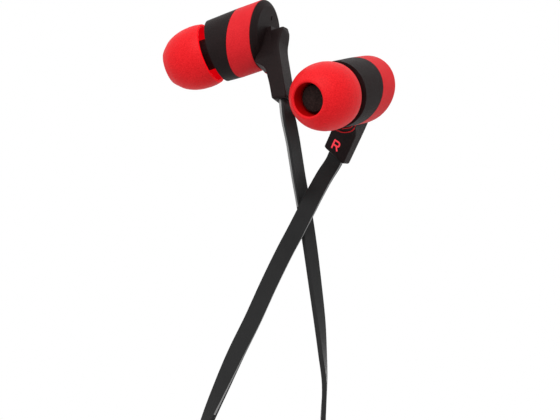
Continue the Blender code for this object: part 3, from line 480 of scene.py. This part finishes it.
def hank_points(first, last, radius_at):
    """Points round the hank, of two half circles and two straight sides."""
    points = []
    count = round((last - first) / FINE_STEP)
    for step in range(count + 1):
        degrees = first + (last - first) * step / count
        angle = math.radians(degrees)
        ends = [math.copysign(1, math.sin(angle))]
        if degrees % 180 == 0:
            far = -1 if degrees % 360 == 0 else 1
            ends = [far * share for share in STRAIGHT_SHARES]
        radius = radius_at(degrees)
        x = HANK_CENTRE[0] + radius * math.cos(angle)
        y = HANK_CENTRE[1] + radius * math.sin(angle)
        for end in ends:
            points.append((x, y + end * HANK_SIDE / 2, COIL_MIDDLE, UPRIGHT))
    return points


def bend(start, start_heading, end, end_heading, count):
    """Points of one smooth bend between two points, without its ends."""
    first, last = Vector(start[:2]), Vector(end[:2])
    reach = (last - first).length
    points = []
    for step in range(1, count):
        t = step / count
        place = (first * (2 * t ** 3 - 3 * t ** 2 + 1) + start_heading * reach * (t ** 3 - 2 * t ** 2 + t)
                 + last * (3 * t ** 2 - 2 * t ** 3) + end_heading * reach * (t ** 3 - t ** 2))
        points.append((*place, start[2] + (end[2] - start[2]) * t, UPRIGHT))
    return points


def arm_radius(degrees, lane):
    """Each bud's cable keeps to its lane, and both draw in by two lanes a turn."""
    return HANK_RADIUS - 2 * LANE_PITCH * (degrees - LEFT_JOIN) / 360 - lane * LANE_PITCH


def main_radius(degrees):
    """Inwards past the splitter, then turn by turn, then across to the plug."""
    gone = degrees - SPLITTER_ANGLE
    if gone < 360:
        return SPLITTER_RADIUS + (MAIN_UNDER_RADIUS - SPLITTER_RADIUS) * gone / 360
    inner = MAIN_UNDER_RADIUS - LANE_PITCH * (min(gone, MAIN_SWEEP) - 360) / 360
    return inner + (PLUG_CHORD - inner) * max(0, gone - MAIN_SWEEP) / 180


def arm_points(matrix, twist, route, join, lane):
    """One bud's cable: out of its stem, over the table, round the hank and into the splitter."""
    coil = hank_points(join, SPLITTER_ANGLE, lambda degrees: arm_radius(degrees, lane))[:-STRAIGHT_STEPS]
    heading = hank_heading(SPLITTER_ANGLE)
    offset = SPLITTER_RADIUS + (0.5 - lane) * LANE_PITCH
    entry = -(SPLITTER_LENGTH / 2 + GAP)
    straight = side_point(SPLITTER_ANGLE, offset, entry - CORD_WIDTH)
    coil += bend(coil[-1], heading, straight, heading, 8)
    coil += [straight, side_point(SPLITTER_ANGLE, offset, entry + GAP * 2)]
    meeting = Vector(coil[0][:2])
    near = [(*(meeting - hank_heading(join) * back), COIL_MIDDLE, UPRIGHT)
            for back in (CORD_WIDTH + GAP, GAP)]
    points = [(x * MM, y * MM, z * MM, turn) for x, y, z, turn in route]
    return smooth_through(stem_exit(matrix, twist) + points + near, 6) + coil


def main_points():
    """The main cable: from the splitter in through the hank to the plug's boot."""
    leave = SPLITTER_LENGTH / 2 - GAP
    start = [side_point(SPLITTER_ANGLE, SPLITTER_RADIUS, leave + back)
             for back in (0, GAP * 2 + CORD_WIDTH)]
    turns = hank_points(SPLITTER_ANGLE, PLUG_ANGLE, main_radius)[STRAIGHT_STEPS:-STRAIGHT_STEPS]
    heading = hank_heading(PLUG_ANGLE)
    last = [side_point(PLUG_ANGLE, PLUG_CHORD, back - BOOT_END, PLUG_MIDDLE)
            for back in (-GAP - CORD_WIDTH, GAP)]
    return start + turns + bend(turns[-1], heading, last[0], heading, 8) + last


def tape_section():
    """The flat cable's section: four points to a corner, and one in the middle of each cut edge."""
    wide, thin, ease = CORD_WIDTH / 2, CORD_THICKNESS / 2, CORD_EASE
    section = []
    for x, y, turn in ((wide, thin, 0), (-wide, thin, 90), (-wide, -thin, 180), (wide, -thin, 270)):
        for step in range(4):
            angle = math.radians(turn + 30 * step)
            section.append((x - math.copysign(ease, x) + ease * math.cos(angle),
                            y - math.copysign(ease, y) + ease * math.sin(angle)))
        if turn % 180 == 90:
            section.append((x, 0))
    return section


def tape_mesh(points):
    """A flat cable with eased edges along points, each with the angle of its section."""
    places = [Vector(point[:3]) for point in points]
    sections = []
    for index, place in enumerate(places):
        ahead = (places[min(index + 1, len(places) - 1)] - place).normalized()
        behind = (place - places[max(index - 1, 0)]).normalized()
        direction = (ahead + behind).normalized()
        up = (Vector((0, 0, 1)) - direction * direction.z).normalized()
        right = up.cross(direction)
        angle = math.radians(points[index][3])
        broad = right * math.cos(angle) + up * math.sin(angle)
        across = direction.cross(broad)
        sections.append([place + broad * x + across * y for x, y in tape_section()])
    return lofted("tape", sections, 50)


def paint_edge_highlight(cable, side, reach):
    """The cut edge on the outer side gets a painted highlight, a light grey finish, as far along the table
    as reach.
    """
    cable.data.materials.append(FINISHES["painted_highlight_cable"])
    count = len(tape_section())
    edge_faces = (count - 1, 0)
    for face in cable.data.polygons[:-2]:
        if face.index % count in edge_faces and face.normal.x * side > 0.4 and face.center.y > reach:
            # painted highlight on the cut edge
            face.material_index = 1


def add_cable(name, points, replaced, pieces):
    cable = add_piece(name, tape_mesh(points), "black_cable", "earphones")
    even_shading(cable)
    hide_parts(*replaced)
    return cable


def add_cables():
    splitter = add_splitter() + [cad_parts["splitter_core"]]
    left = add_cable("left_cable", arm_points(LEFT, LEFT_TWIST, LEFT_ROUTE, LEFT_JOIN, 1),
                     ("left_cord_run", "left_cord_coil"), splitter)
    right = add_cable("right_cable", arm_points(RIGHT, RIGHT_TWIST, RIGHT_ROUTE, RIGHT_JOIN, 0),
                      ("right_cord_run", "right_cord_coil"), splitter + [add_tie()])
    paint_edge_highlight(left, -1, LEFT_HIGHLIGHT_REACH)
    paint_edge_highlight(right, 1, RIGHT_HIGHLIGHT_REACH)
    add_cable("main_cable", main_points(), ("main_cord_coil",), add_plug())


# Splitter, tie and plug --------------------------------------------------------------------
def add_splitter():
    """The splitter's two hollow shells."""
    place = side_point(SPLITTER_ANGLE, SPLITTER_RADIUS, 0, SPLITTER_HEIGHT / 2)
    matrix = Matrix.Translation(place[:3]) @ Matrix.Rotation(math.radians(SPLITTER_ANGLE), 4, 'Z')
    depth, length, height = SPLITTER_DEPTH / 2, SPLITTER_LENGTH / 2, SPLITTER_HEIGHT / 2
    inside = (depth - SHELL_WALL, length - SHELL_WALL, height - SHELL_WALL)
    pieces = []
    for name, low, high in (("inner", -depth, -SEAM / 2), ("outer", SEAM / 2, depth)):
        hollow = block("hollow", [-size for size in inside], inside)
        shell = block(f"splitter_{name}", (low, -length, -height), (high, length, height), 0.55 * MM)
        piece = add_piece(f"splitter_{name}", combine(shell, [('DIFFERENCE', hollow)]), "black_plastic",
                          "earphones", matrix)
        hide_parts(f"splitter_{name}_shell")
        even_shading(piece)
        pieces.append(piece)
    return pieces


def strap_mesh(low, high):
    """A flat strap bent round an upright oblong, its edges eased: low and high are (x, z)."""
    ease, half, skin = 0.09 * MM, TIE_WIDTH / 2, TIE_SKIN
    section = [(0, half - ease), (ease, half), (skin - ease, half), (skin, half - ease)]
    section += [(inset, -y) for inset, y in reversed(section)]
    rows = []
    for inset, y in section:
        x0, z0, x1, z1 = low[0] + inset, low[1] + inset, high[0] - inset, high[1] - inset
        reach = TIE_CORNER - inset
        loop = []
        for x, z, turn in ((x1 - reach, z1 - reach, 0), (x0 + reach, z1 - reach, 90),
                           (x0 + reach, z0 + reach, 180), (x1 - reach, z0 + reach, 270)):
            for step in range(7):
                angle = math.radians(turn + 15 * step)
                loop.append((x + reach * math.cos(angle), y, z + reach * math.sin(angle)))
        rows.append(loop)
    edit = bmesh.new()
    rings = [[edit.verts.new(point) for point in loop] for loop in rows]
    bridge(edit, rings + rings[:1])
    return mesh_from("strap", edit)


def add_tie():
    """The strap round one straight side of the hank."""
    clear = CORD_THICKNESS / 2 + GAP
    low = (main_radius(SPLITTER_ANGLE + MAIN_SWEEP) - clear - TIE_SKIN, 0)
    high = (arm_radius(360, 0) + clear + TIE_SKIN, COIL_FLOOR + CORD_WIDTH + GAP + TIE_SKIN)
    piece = add_piece("tie_strap", strap_mesh(low, high), "black_plastic", "earphones",
                      Matrix.Translation((*HANK_CENTRE, 0)))
    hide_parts("cord_tie")
    return piece


def boot_mesh(start):
    """A strain relief with five ribs, which narrows towards the cable."""
    wide, narrow = (2.0 * MM, 2.2 * MM), (1.15 * MM, 1.7 * MM)    # half sizes of its two ends
    ribs, rib_height, corner = 5, 0.13 * MM, 0.5 * MM
    sections = []
    steps = 44
    for step in range(steps + 1):
        share = step / steps
        wave = 0.5 + 0.5 * math.cos(share * 2 * math.pi * ribs)
        rib = rib_height * wave if 0.04 < share < 0.96 else 0
        x, z = [big + (small - big) * share - rib_height + rib for big, small in zip(wide, narrow)]
        corners = [(0, -z, 0), (x, -z, corner), (x, 0, 0.1 * MM), (x, z, corner), (0, z, 0)]
        right = [(point.x, start - BOOT_LENGTH * share, point.y) for point in rounded(corners)]
        sections.append(right + [(-px, py, pz) for px, py, pz in reversed(right[1:-1])])
    return lofted("boot", sections, 60)


def add_plug():
    """An angled plug lying in the hank: Y runs along its body, -X along its pin."""
    place = side_point(PLUG_ANGLE, PLUG_CHORD, 0, PLUG_MIDDLE)
    matrix = Matrix.Translation(place[:3]) @ Matrix.Rotation(math.radians(PLUG_ANGLE), 4, 'Z')
    half = PLUG_WIDTH / 2
    seat = Matrix.Translation((-half, PLUG_END - PIN_INSET, 0)) @ Matrix.Rotation(-math.pi / 2, 4, 'Y')
    body = block("plug_body", (-half, PLUG_START, -PLUG_MIDDLE), (half, PLUG_END, PLUG_MIDDLE), 0.8 * MM, 6)
    bore, deep, clear = PIN_RADIUS + GAP / 2, -PIN_SEAT - GAP, 2 * MM
    socket = turned("socket", [(0, deep, 0), (bore, deep, 0), (bore, clear, 0), (0, clear, 0)])
    socket.transform(seat)
    grip = add_piece("plug_body", combine(body, [('DIFFERENCE', socket)]), "black_plastic", "earphones",
                     matrix)
    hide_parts("plug_housing")
    even_shading(grip)
    relief = add_piece("plug_relief", boot_mesh(PLUG_START - 0.02 * MM), "black_plastic", "earphones",
                       matrix)
    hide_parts("plug_boot")
    return [grip, relief] + add_pin(matrix @ seat)


def add_pin(matrix):
    """Turned contacts and insulators, along Z from the plug's shoulder."""
    tip_base = PIN_LENGTH - PIN_TIP_LENGTH
    parting = PIN_SPACER + 2 * GAP
    ring_low = tip_base - parting - PIN_RING_LENGTH
    ring_high = ring_low + PIN_RING_LENGTH
    sleeve_high = ring_low - parting
    ease = 0.08 * MM
    pieces = []
    for name, node, low, high, radius, finish_name in (
            ("pin_sleeve", "plug_sleeve", -PIN_SEAT, sleeve_high, PIN_RADIUS, "gold"),
            ("pin_ring", "plug_ring", ring_low, ring_high, PIN_RADIUS, "gold"),
            ("pin_rear_insulator", "plug_rear_insulator", sleeve_high + GAP, ring_low - GAP,
             PIN_RADIUS - 0.1 * MM, "black_plastic"),
            ("pin_front_insulator", "plug_front_insulator", ring_high + GAP, tip_base - GAP,
             PIN_RADIUS - 0.1 * MM, "black_plastic")):
        outline = rounded([(PIN_BORE, low, 0, 0), (radius, low, 0, ease), (radius, high, 0, ease),
                           (PIN_BORE, high, 0, 0)])
        piece = add_piece(name, turned(name, outline, closed=True, facets=64), finish_name, "earphones",
                          matrix)
        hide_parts(node)
        pieces.append(piece)
    rod = [(0, -PIN_SEAT, 0), (PIN_ROD_RADIUS, -PIN_SEAT, 0), (PIN_ROD_RADIUS, tip_base, 0)]
    head = rounded([
        (PIN_ROD_RADIUS + 0.05 * MM, tip_base, 0, 0),
        (PIN_RADIUS, tip_base, 0, ease),
        (PIN_RADIUS, tip_base + 0.5 * MM, 0, 0.2 * MM),
        (PIN_RADIUS * 0.72, tip_base + 1.0 * MM, 0, 0.3 * MM),
        (PIN_RADIUS * 0.97, tip_base + 1.7 * MM, 0, 0.35 * MM),
        (PIN_RADIUS * 0.8, PIN_LENGTH - 0.7 * MM, 0, 0.3 * MM),
        (PIN_RADIUS * 0.35, PIN_LENGTH - 0.1 * MM, 0, 0.3 * MM),
        (0.1 * MM, PIN_LENGTH, 0, 0),
    ])
    tip = turned("tip", rod + head + [(0, PIN_LENGTH, 0)], facets=64)
    piece = add_piece("pin_tip", tip, "gold", "earphones", matrix)
    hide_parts("plug_tip")
    return pieces + [piece]


# Buds --------------------------------------------------------------------------------------
def eartip_mesh():
    """A soft dome with a rounded mouth, a fine parting ridge and an open skirt."""
    outer = smooth_through([
        (TIP_RIM_RADIUS, TIP_RIM + 0.1 * MM, 0),
        (TIP_RADIUS * 0.993, TIP_RIM + 1.2 * MM, 0),
        (TIP_RADIUS, TIP_RIM + 2.3 * MM, 0),
        (TIP_RADIUS * 0.985, TIP_RIM + 3.8 * MM, 0),
        (TIP_RADIUS * 0.925, TIP_RIM + 5.4 * MM, 0),
        (TIP_RADIUS * 0.815, TIP_RIM + 6.9 * MM, 0),
        (TIP_RADIUS * 0.67, TIP_RIM + 8.0 * MM, 0),
        (TIP_MOUTH_RADIUS + 0.55 * MM, TIP_MOUTH - 0.06 * MM, 0),
    ], 8)
    ridge = []
    for point in outer:
        bulge = 0.025 * MM * math.exp(-((point.y - TIP_RIM - 2.3 * MM) / (0.11 * MM)) ** 2)
        ridge.append(Vector((point.x + bulge, point.y, 0)))
    mouth = rounded([
        (TIP_MOUTH_RADIUS + 0.55 * MM, TIP_MOUTH - 0.06 * MM, 0, 0),
        (TIP_MOUTH_RADIUS + 0.02 * MM, TIP_MOUTH, 0, 0.5 * MM),
        (TIP_BORE + 0.02 * MM, TIP_MOUTH - 1.2 * MM, 0, 0.4 * MM),
        (TIP_BORE, COLLAR_END + GAP, 0, 0.2 * MM),
        (TIP_CORE, COLLAR_END + GAP, 0, 0.2 * MM),
        (TIP_CORE, TIP_RIM + 5.3 * MM, 0, 0.6 * MM),
        ((TIP_RADIUS - TIP_WALL) * 0.84, TIP_RIM + 5.3 * MM, 0, 0.8 * MM),
        (TIP_RADIUS - TIP_WALL, TIP_RIM + 3.0 * MM, 0, 1.2 * MM),
        (TIP_RIM_RADIUS - TIP_WALL, TIP_RIM + 0.1 * MM, 0, 0),
        (TIP_RIM_RADIUS - TIP_WALL + 0.12 * MM, TIP_RIM, 0, 0.1 * MM),
        (TIP_RIM_RADIUS - 0.12 * MM, TIP_RIM, 0, 0.1 * MM),
    ])
    return turned("eartip", ridge + mouth[1:], closed=True, facets=144, smooth_angle=50)


def filter_mesh():
    """A round of felt before the nozzle's mouth, slightly domed."""
    low, radius = NOZZLE_END + GAP, 2.4 * MM
    high = low + 0.57 * MM
    outline = rounded([
        (0.2 * MM, low, 0, 0),
        (radius, low, 0, 0.1 * MM),
        (radius, low + 0.45 * MM, 0, 0.3 * MM),
        (1.2 * MM, low + 0.55 * MM, 0, 0.6 * MM),
        (0.2 * MM, high, 0, 0),
    ])
    return turned("filter", [(0, low, 0), *outline, (0, high, 0)], facets=64)


def front_housing_mesh():
    """The drum's front with its nozzle, bored through, and the collar that the tip grips."""
    rear = BAND_LENGTH + SEAM / 2
    outline = rounded([
        (5.4 * MM, rear, 1, 0),
        (DRUM_RADIUS, rear, 1, 0.06 * MM),
        (DRUM_FRONT_RADIUS, DRUM_LENGTH, 0, 0.65 * MM),
        (COLLAR_RADIUS, DRUM_LENGTH, 0, 0.4 * MM),
        (COLLAR_RADIUS, COLLAR_END, 0, 0.15 * MM),
        (NOZZLE_RADIUS, COLLAR_END, 0, 0.1 * MM),
        (NOZZLE_RADIUS, NOZZLE_END - 1.5 * MM, 0, 0.3 * MM),
        (NOZZLE_RADIUS + 0.2 * MM, NOZZLE_END - 1.0 * MM, 0, 0.2 * MM),
        (NOZZLE_RADIUS + 0.2 * MM, NOZZLE_END, 0, 0.15 * MM),
        (NOZZLE_BORE, NOZZLE_END, 0, 0.15 * MM),
        (NOZZLE_BORE, 8.6 * MM, 0, 0),
        (4.3 * MM, 8.6 * MM, 0, 0),
        (4.3 * MM, 7.6 * MM, 0, 0),
        (5.4 * MM, 7.6 * MM, 0, 0),
        (5.4 * MM, rear + 0.1 * MM, 1, 0),
    ])
    return turned("front_housing", outline, closed=True)


def accent_band_mesh():
    rear, front = SEAM / 2, BAND_LENGTH - SEAM / 2
    outline = rounded([
        (BAND_BORE, rear, 1, 0), (DRUM_RADIUS, rear, 1, 0.08 * MM), (DRUM_RADIUS, front, 1, 0.06 * MM),
        (BAND_BORE, front, 1, 0)])
    return turned("accent_band", outline, closed=True)


def cap_mesh():
    """The drum's rear cap, with a low step on its back and a spigot inside the band."""
    spigot, spigot_bore, spigot_end, floor = 5.0 * MM, 4.3 * MM, 4.0 * MM, 0.3 * MM
    outline = [(0, CAP_BACK - CAP_STEP, 1)] + rounded([
        (0.4 * MM, CAP_BACK - CAP_STEP, 1, 0),
        (CAP_STEP_RADIUS, CAP_BACK - CAP_STEP, 1, 0.06 * MM),
        (CAP_STEP_RADIUS + 0.1 * MM, CAP_BACK, 1, 0.06 * MM),
        (CAP_RADIUS - 0.3 * MM, CAP_BACK + 0.36 * MM, 1, 0.3 * MM),
        (CAP_RADIUS, CAP_BACK + 0.62 * MM, 1, 0.2 * MM),
        (CAP_RADIUS + 0.08 * MM, -SEAM / 2, 1, 0.04 * MM),
        (spigot, -SEAM / 2, 1, 0),
    ]) + [(spigot, spigot_end, 1), (spigot_bore, spigot_end, 1), (spigot_bore, floor, 1), (0, floor, 1)]
    return turned("cap", outline)


def stem_ring(x, low_half, high_half, low, high, low_cut, high_cut):
    """A rounded section across the stem, from its back (low) to its front (high)."""
    corners = [
        (x, 0, low, 0), (x, low_half, low, low_cut), (x, high_half, high, high_cut), (x, 0, high, 0)]
    right = rounded(corners)
    left = [Vector((point.x, -point.y, point.z)) for point in reversed(right[1:-1])]
    # the stem's end and its fin's top are cut aslant: shares of the slant, which fade out
    end = max(0.0, x - STRAIGHT_START) / (STEM_END - STRAIGHT_START)
    top = min(1.0, max(0.0, 1 - x / FIN_TOP_LENGTH))
    ring = []
    for point in [*right, *left]:
        far = 0.22 * end * (STEM_FRONT - point.z) * (0.5 + point.y / STEM_WIDTH)
        ring.append(point + Vector(((0.14 * end + 0.35 * top) * point.y + far, 0, 0)))
    return ring


def stem_front_mesh():
    """The stem's front half, from the rear cap over its foot to the straight end."""
    half = STEM_WIDTH / 2
    low = STEM_MIDDLE + STEM_SEAM / 2
    root = 6.5 * MM
    rows = smooth_rows([
        (-1.0 * MM, half * 0.40, half * 0.35, 0.05 * MM - 1.0 * MM * LEAN),
        (0.2 * MM, half * 0.52, half * 0.40, -0.3 * MM + 0.2 * MM * LEAN),
        (1.4 * MM, half * 0.62, half * 0.52, -0.3 * MM + 1.4 * MM * LEAN),
        (3.7 * MM, half * 0.80, half * 0.64, -0.3 * MM + 3.7 * MM * LEAN),
        (root - 0.6 * MM, half * 0.96, half * 0.95, (root - 0.6 * MM) * LEAN - 0.45 * MM),
        (root, half, half, root * LEAN - 0.5 * MM),
        (7.5 * MM, half, half, 0.75 * MM),
        (8.6 * MM, half, half, -0.02 * MM),
        (10.1 * MM, half, half, -0.2 * MM),
        (12.0 * MM, half, half, -0.36 * MM),
        (STEM_END - 0.4 * MM, half, half, STEM_FRONT - 0.02 * MM),
    ])
    sections = [stem_ring(x, low_half, high_half, low, high, 0, STEM_CORNER if x > root else 0.2 * MM)
                for x, low_half, high_half, high in rows]
    sections += end_rings(half, lambda inset: (low, STEM_FRONT - inset), (0, STEM_CORNER))
    return lofted("stem_front", sections, 50)


def smooth_rows(rows):
    return [tuple(row) for row in smooth_through(rows, 4)]


def end_rings(half, levels, cuts):
    """The stem's end, its edges rounded: levels gives the low and high of a ring from its inset."""
    rings = []
    for degrees in (25, 45, 65, 90):
        angle = math.radians(degrees)
        inset = END_ROUND * (1 - math.cos(angle))
        x = STEM_END - END_ROUND * (1 - math.sin(angle))
        low, high = levels(inset)
        rings.append(stem_ring(x, half - inset, half - inset, low, high, *cuts))
    return rings


def stem_cover_mesh():
    """The stem's back half: a rounded fin on the cap, a waist and the straight end."""
    half = STEM_WIDTH / 2
    high = STEM_MIDDLE - STEM_SEAM / 2
    rows = smooth_rows([
        (-0.12 * MM, half * 0.30, half * 0.40, -3.95 * MM),
        (-0.02 * MM, half * 0.44, half * 0.46, -4.25 * MM),
        (0.15 * MM, half * 0.53, half * 0.50, -4.38 * MM),
        (0.4 * MM, half * 0.59, half * 0.52, -4.4 * MM),
        (0.7 * MM, half * 0.63, half * 0.53, -4.4 * MM),
        (1.1 * MM, half * 0.69, half * 0.55, -4.38 * MM),
        (2.2 * MM, half * 0.79, half * 0.63, -3.95 * MM),
        (3.4 * MM, half * 0.86, half * 0.75, -3.5 * MM),
        (4.8 * MM, half * 0.93, half * 0.88, -3.27 * MM),
        (6.6 * MM, half * 0.98, half * 0.98, -3.22 * MM),
        (9.5 * MM, half, half, -3.22 * MM),
        (STEM_END - 0.4 * MM, half, half, STEM_BACK),
    ])
    sections = [stem_ring(x, low_half, high_half, low, high, STEM_CORNER, 0)
                for x, low_half, high_half, low in rows]
    sections += end_rings(half, lambda inset: (STEM_BACK + inset, high), (STEM_CORNER, 0))
    return lofted("stem_cover", sections, 50)


def slot_mesh():
    """The hole in the stem's end that the cable comes out of."""
    wide, thin = SLOT_WIDTH / 2, SLOT_HEIGHT / 2
    return block("slot", (STEM_END - SLOT_LENGTH, -wide, STEM_MIDDLE - thin),
                 (STEM_END + 1 * MM, wide, STEM_MIDDLE + thin))


def vent_mesh():
    """The small vent through the cap's back."""
    long, wide = VENT_LENGTH / 2, VENT_WIDTH / 2
    return block("vent", (VENT_PLACE - long, -wide, -4 * MM), (VENT_PLACE + long, wide, 1 * MM))


def stroke_mesh(name, lines, radius, smooth_angle=60):
    """Round strokes along lines of points, as one mesh."""
    data = bpy.data.curves.new(name, 'CURVE')
    data.dimensions = '3D'
    data.use_fill_caps = True
    data.bevel_depth = radius
    data.bevel_resolution = 3
    for line in lines:
        spline = data.splines.new('POLY')
        spline.points.add(len(line) - 1)
        for place, point in zip(spline.points, line):
            place.co = (*point, 1)
    helper = linked(name, data)
    mesh = final_mesh(helper)
    bpy.data.objects.remove(helper)
    return shaded(mesh, smooth_angle)


# Strokes of the side marks: across, up and how far a corner is rounded, in millimetres
SIDE_MARKS = {
    "left": [[(-0.5, 0.87, 0), (-0.5, -0.87, 0), (0.55, -0.87, 0)]],
    "right": [[(-0.63, -0.9, 0), (-0.63, 0.88, 0.02), (0.66, 0.88, 0.5), (0.66, -0.03, 0.44),
               (-0.63, -0.03, 0)],
              [(0.12, -0.03, 0), (0.7, -0.9, 0)]],
}
MARK_STROKE = 0.175 * MM              # half a stroke's width
MARK_PLACE = (12.67 * MM, -0.36 * MM, -0.37 * MM)
MARK_FLATNESS = 0.2
FACE_SLOPE = 0.03
# The band's narrow edge and a red crescent, by radius and points, in millimetres in the bud's own frame
FOOT_TRIMS = {
    "lip": (0.11, [(9.88, -1.5, -0.15), (9.72, -0.9, -0.14), (9.58, -0.29, -0.13), (9.12, 0.54, -0.09),
                   (8.16, 1.57, 0.30), (7.0, 2.3, 1.25), (6.2, 2.45, 1.78), (5.6, 2.5, 1.85)]),
    "edge": (0.08, [(9.0, -0.5, -0.1), (8.67, -0.17, -0.03), (8.09, 0.57, 0.36), (7.42, 1.36, 0.88),
                    (6.7, 1.9, 1.6), (6.1, 2.1, 1.72), (5.6, 2.2, 1.85)]),
}


def add_side_mark(side, matrix):
    """The letter printed on the stem's front face, with a painted glow."""
    lines = [[(x * MM, y * MM, 0) for x, y in rounded(line)] for line in SIDE_MARKS[side]]
    mesh = stroke_mesh("side_mark", lines, MARK_STROKE)
    lay = Matrix(((0, -1, FACE_SLOPE * MARK_FLATNESS), (1, 0, 0), (0, FACE_SLOPE, MARK_FLATNESS)))
    mesh.transform(Matrix.Translation(MARK_PLACE) @ lay.to_4x4())
    mark = add_piece(f"{side}_mark", mesh, "letter_print_painted_glow", "earphones", matrix)


def add_foot_trim(side, matrix):
    """Thin red strokes where the stem's foot meets the drum: the band's narrow edge and a red crescent."""
    for name, (radius, places) in FOOT_TRIMS.items():
        # the buds mirror each other; the left one's trims stop short of the stem's other half
        if side == "left":
            places = [(x, -y, z) for x, y, z in places[2:]]
        mesh = stroke_mesh(name, [[point * MM for point in smooth_through(places, 5)]], radius * MM)
        piece = add_piece(f"{side}_{name}", mesh, "red_plastic", "earphones", matrix)


def paint_tip_glow_and_shade(piece, matrix):
    """Painted light and shade on the tip: a painted glow on the skirt's inside stands in for light shining
    through the thin skirt, and the bore has painted shade, a deeper red.
    """
    piece.data.materials.append(FINISHES["painted_glow_silicone"])
    piece.data.materials.append(FINISHES["painted_shade_silicone"])
    inverse = matrix.inverted()
    skirt_depth = TIP_RIM + 4.6 * MM
    bore_reach = (TIP_BORE + 0.06 * MM) * max(TIP_SWELL.values())
    for face in piece.data.polygons:
        place = inverse @ face.center
        radius = math.hypot(place.x, place.y)
        if TIP_CORE + 0.1 * MM < radius < TIP_RADIUS - 0.3 * MM and place.z < skirt_depth:
            # painted glow on the skirt's inside
            face.material_index = 1
        elif radius < bore_reach:
            # painted shade in the bore
            face.material_index = 2


def add_bud(side, matrix):
    """One bud's shells: name, mesh, finish, the solid that each replaces, and its body."""
    cuts = [('DIFFERENCE', slot_mesh()), ('DIFFERENCE', vent_mesh())]
    shells = (
        ("front_shell", front_housing_mesh(), "black_plastic", "front_housing", "earphones"),
        ("band", accent_band_mesh(), "red_plastic", "accent_band", "earphones"),
        ("tip", eartip_mesh(), "red_silicone", "eartip", f"{side}_tip"),
        ("felt", filter_mesh(), "grey_felt", "nozzle_filter", "earphones"),
        ("rear_shell", combine(cap_mesh(), [('UNION', stem_front_mesh()), *cuts]), "black_plastic",
         "rear_housing", "earphones"),
        ("cover", combine(stem_cover_mesh(), cuts[:1]), "black_plastic", "stem_cover", "earphones"),
    )
    for name, mesh, finish_name, node, body in shells:
        if name == "tip":
            mesh.transform(Matrix.Diagonal((TIP_SWELL[side], TIP_SWELL[side], 1, 1)))
        piece = add_piece(f"{side}_{name}", mesh, finish_name, body, matrix)
        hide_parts(f"{side}_{node}")
        even_shading(piece)
        if name == "tip":
            paint_tip_glow_and_shade(piece, matrix)
    add_side_mark(side, matrix)
    add_foot_trim(side, matrix)


# Light, floor and the rest -----------------------------------------------------------------
FLOOR_REACH = 3.0
FLOOR_DROP = 0.1 * MM                 # keeps the floor just clear of what lies on it


def add_area(name, place, aim, size, watts):
    data = bpy.data.lights.new(name, 'AREA')
    data.shape = 'SQUARE'
    data.size = size
    data.energy = watts
    lamp = linked(name, data)
    lamp.location = place
    lamp.rotation_euler = (Vector(aim) - Vector(place)).to_track_quat('-Z', 'Y').to_euler()


def floor_finish():
    """White to the camera and in reflections, and a plain pale surface to other light."""
    made = bpy.data.materials.new("floor_white")
    made.use_nodes = True
    nodes, links = made.node_tree.nodes, made.node_tree.links
    plain = nodes["Principled BSDF"]
    plain.inputs["Base Color"].default_value = (0.8, 0.8, 0.8, 1)
    plain.inputs["Roughness"].default_value = 0.9
    plain.inputs["Specular IOR Level"].default_value = 0
    glow = nodes.new("ShaderNodeEmission")
    glow.inputs["Strength"].default_value = 1.0
    ray = nodes.new("ShaderNodeLightPath")
    seen = ray.outputs["Is Camera Ray"]
    for other in ("Is Glossy Ray", "Is Transmission Ray"):
        either = nodes.new("ShaderNodeMath")
        either.operation = 'MAXIMUM'
        links.new(seen, either.inputs[0])
        links.new(ray.outputs[other], either.inputs[1])
        seen = either.outputs["Value"]
    mix = nodes.new("ShaderNodeMixShader")
    links.new(seen, mix.inputs["Fac"])
    links.new(plain.outputs["BSDF"], mix.inputs[1])
    links.new(glow.outputs["Emission"], mix.inputs[2])
    links.new(mix.outputs["Shader"], nodes["Material Output"].inputs["Surface"])
    return made


def add_floor():
    mesh = bpy.data.meshes.new("floor")
    mesh.from_pydata([(-FLOOR_REACH, -FLOOR_REACH, 0), (FLOOR_REACH, -FLOOR_REACH, 0),
                      (FLOOR_REACH, FLOOR_REACH, 0), (-FLOOR_REACH, FLOOR_REACH, 0)], [], [(0, 1, 2, 3)])
    floor = linked("floor", mesh)
    floor.location.z = -FLOOR_DROP
    mesh.materials.append(floor_finish())


def add_light():
    """An even white sky and one soft lamp, from behind the buds."""
    world = bpy.data.worlds.new("studio")
    world.use_nodes = True
    world.node_tree.nodes["Background"].inputs["Color"].default_value = (1, 1, 1, 1)
    world.node_tree.nodes["Background"].inputs["Strength"].default_value = 0.75
    bpy.context.scene.world = world
    bpy.context.scene.view_settings.view_transform = 'Standard'
    add_area("key", (-0.06, 0.26, 0.30), (0, 0, 0.01), 0.3, 1.0)


def dress_cad_nodes():
    for name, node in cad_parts.items():
        bare = name.removeprefix("left_").removeprefix("right_")
        node.data.materials.clear()
        node.data.materials.append(FINISHES[CAD_FINISHES.get(bare, "black_plastic")])


add_camera()
dress_cad_nodes()
add_cables()
add_bud("left", LEFT)
add_bud("right", RIGHT)
add_floor()
add_light()
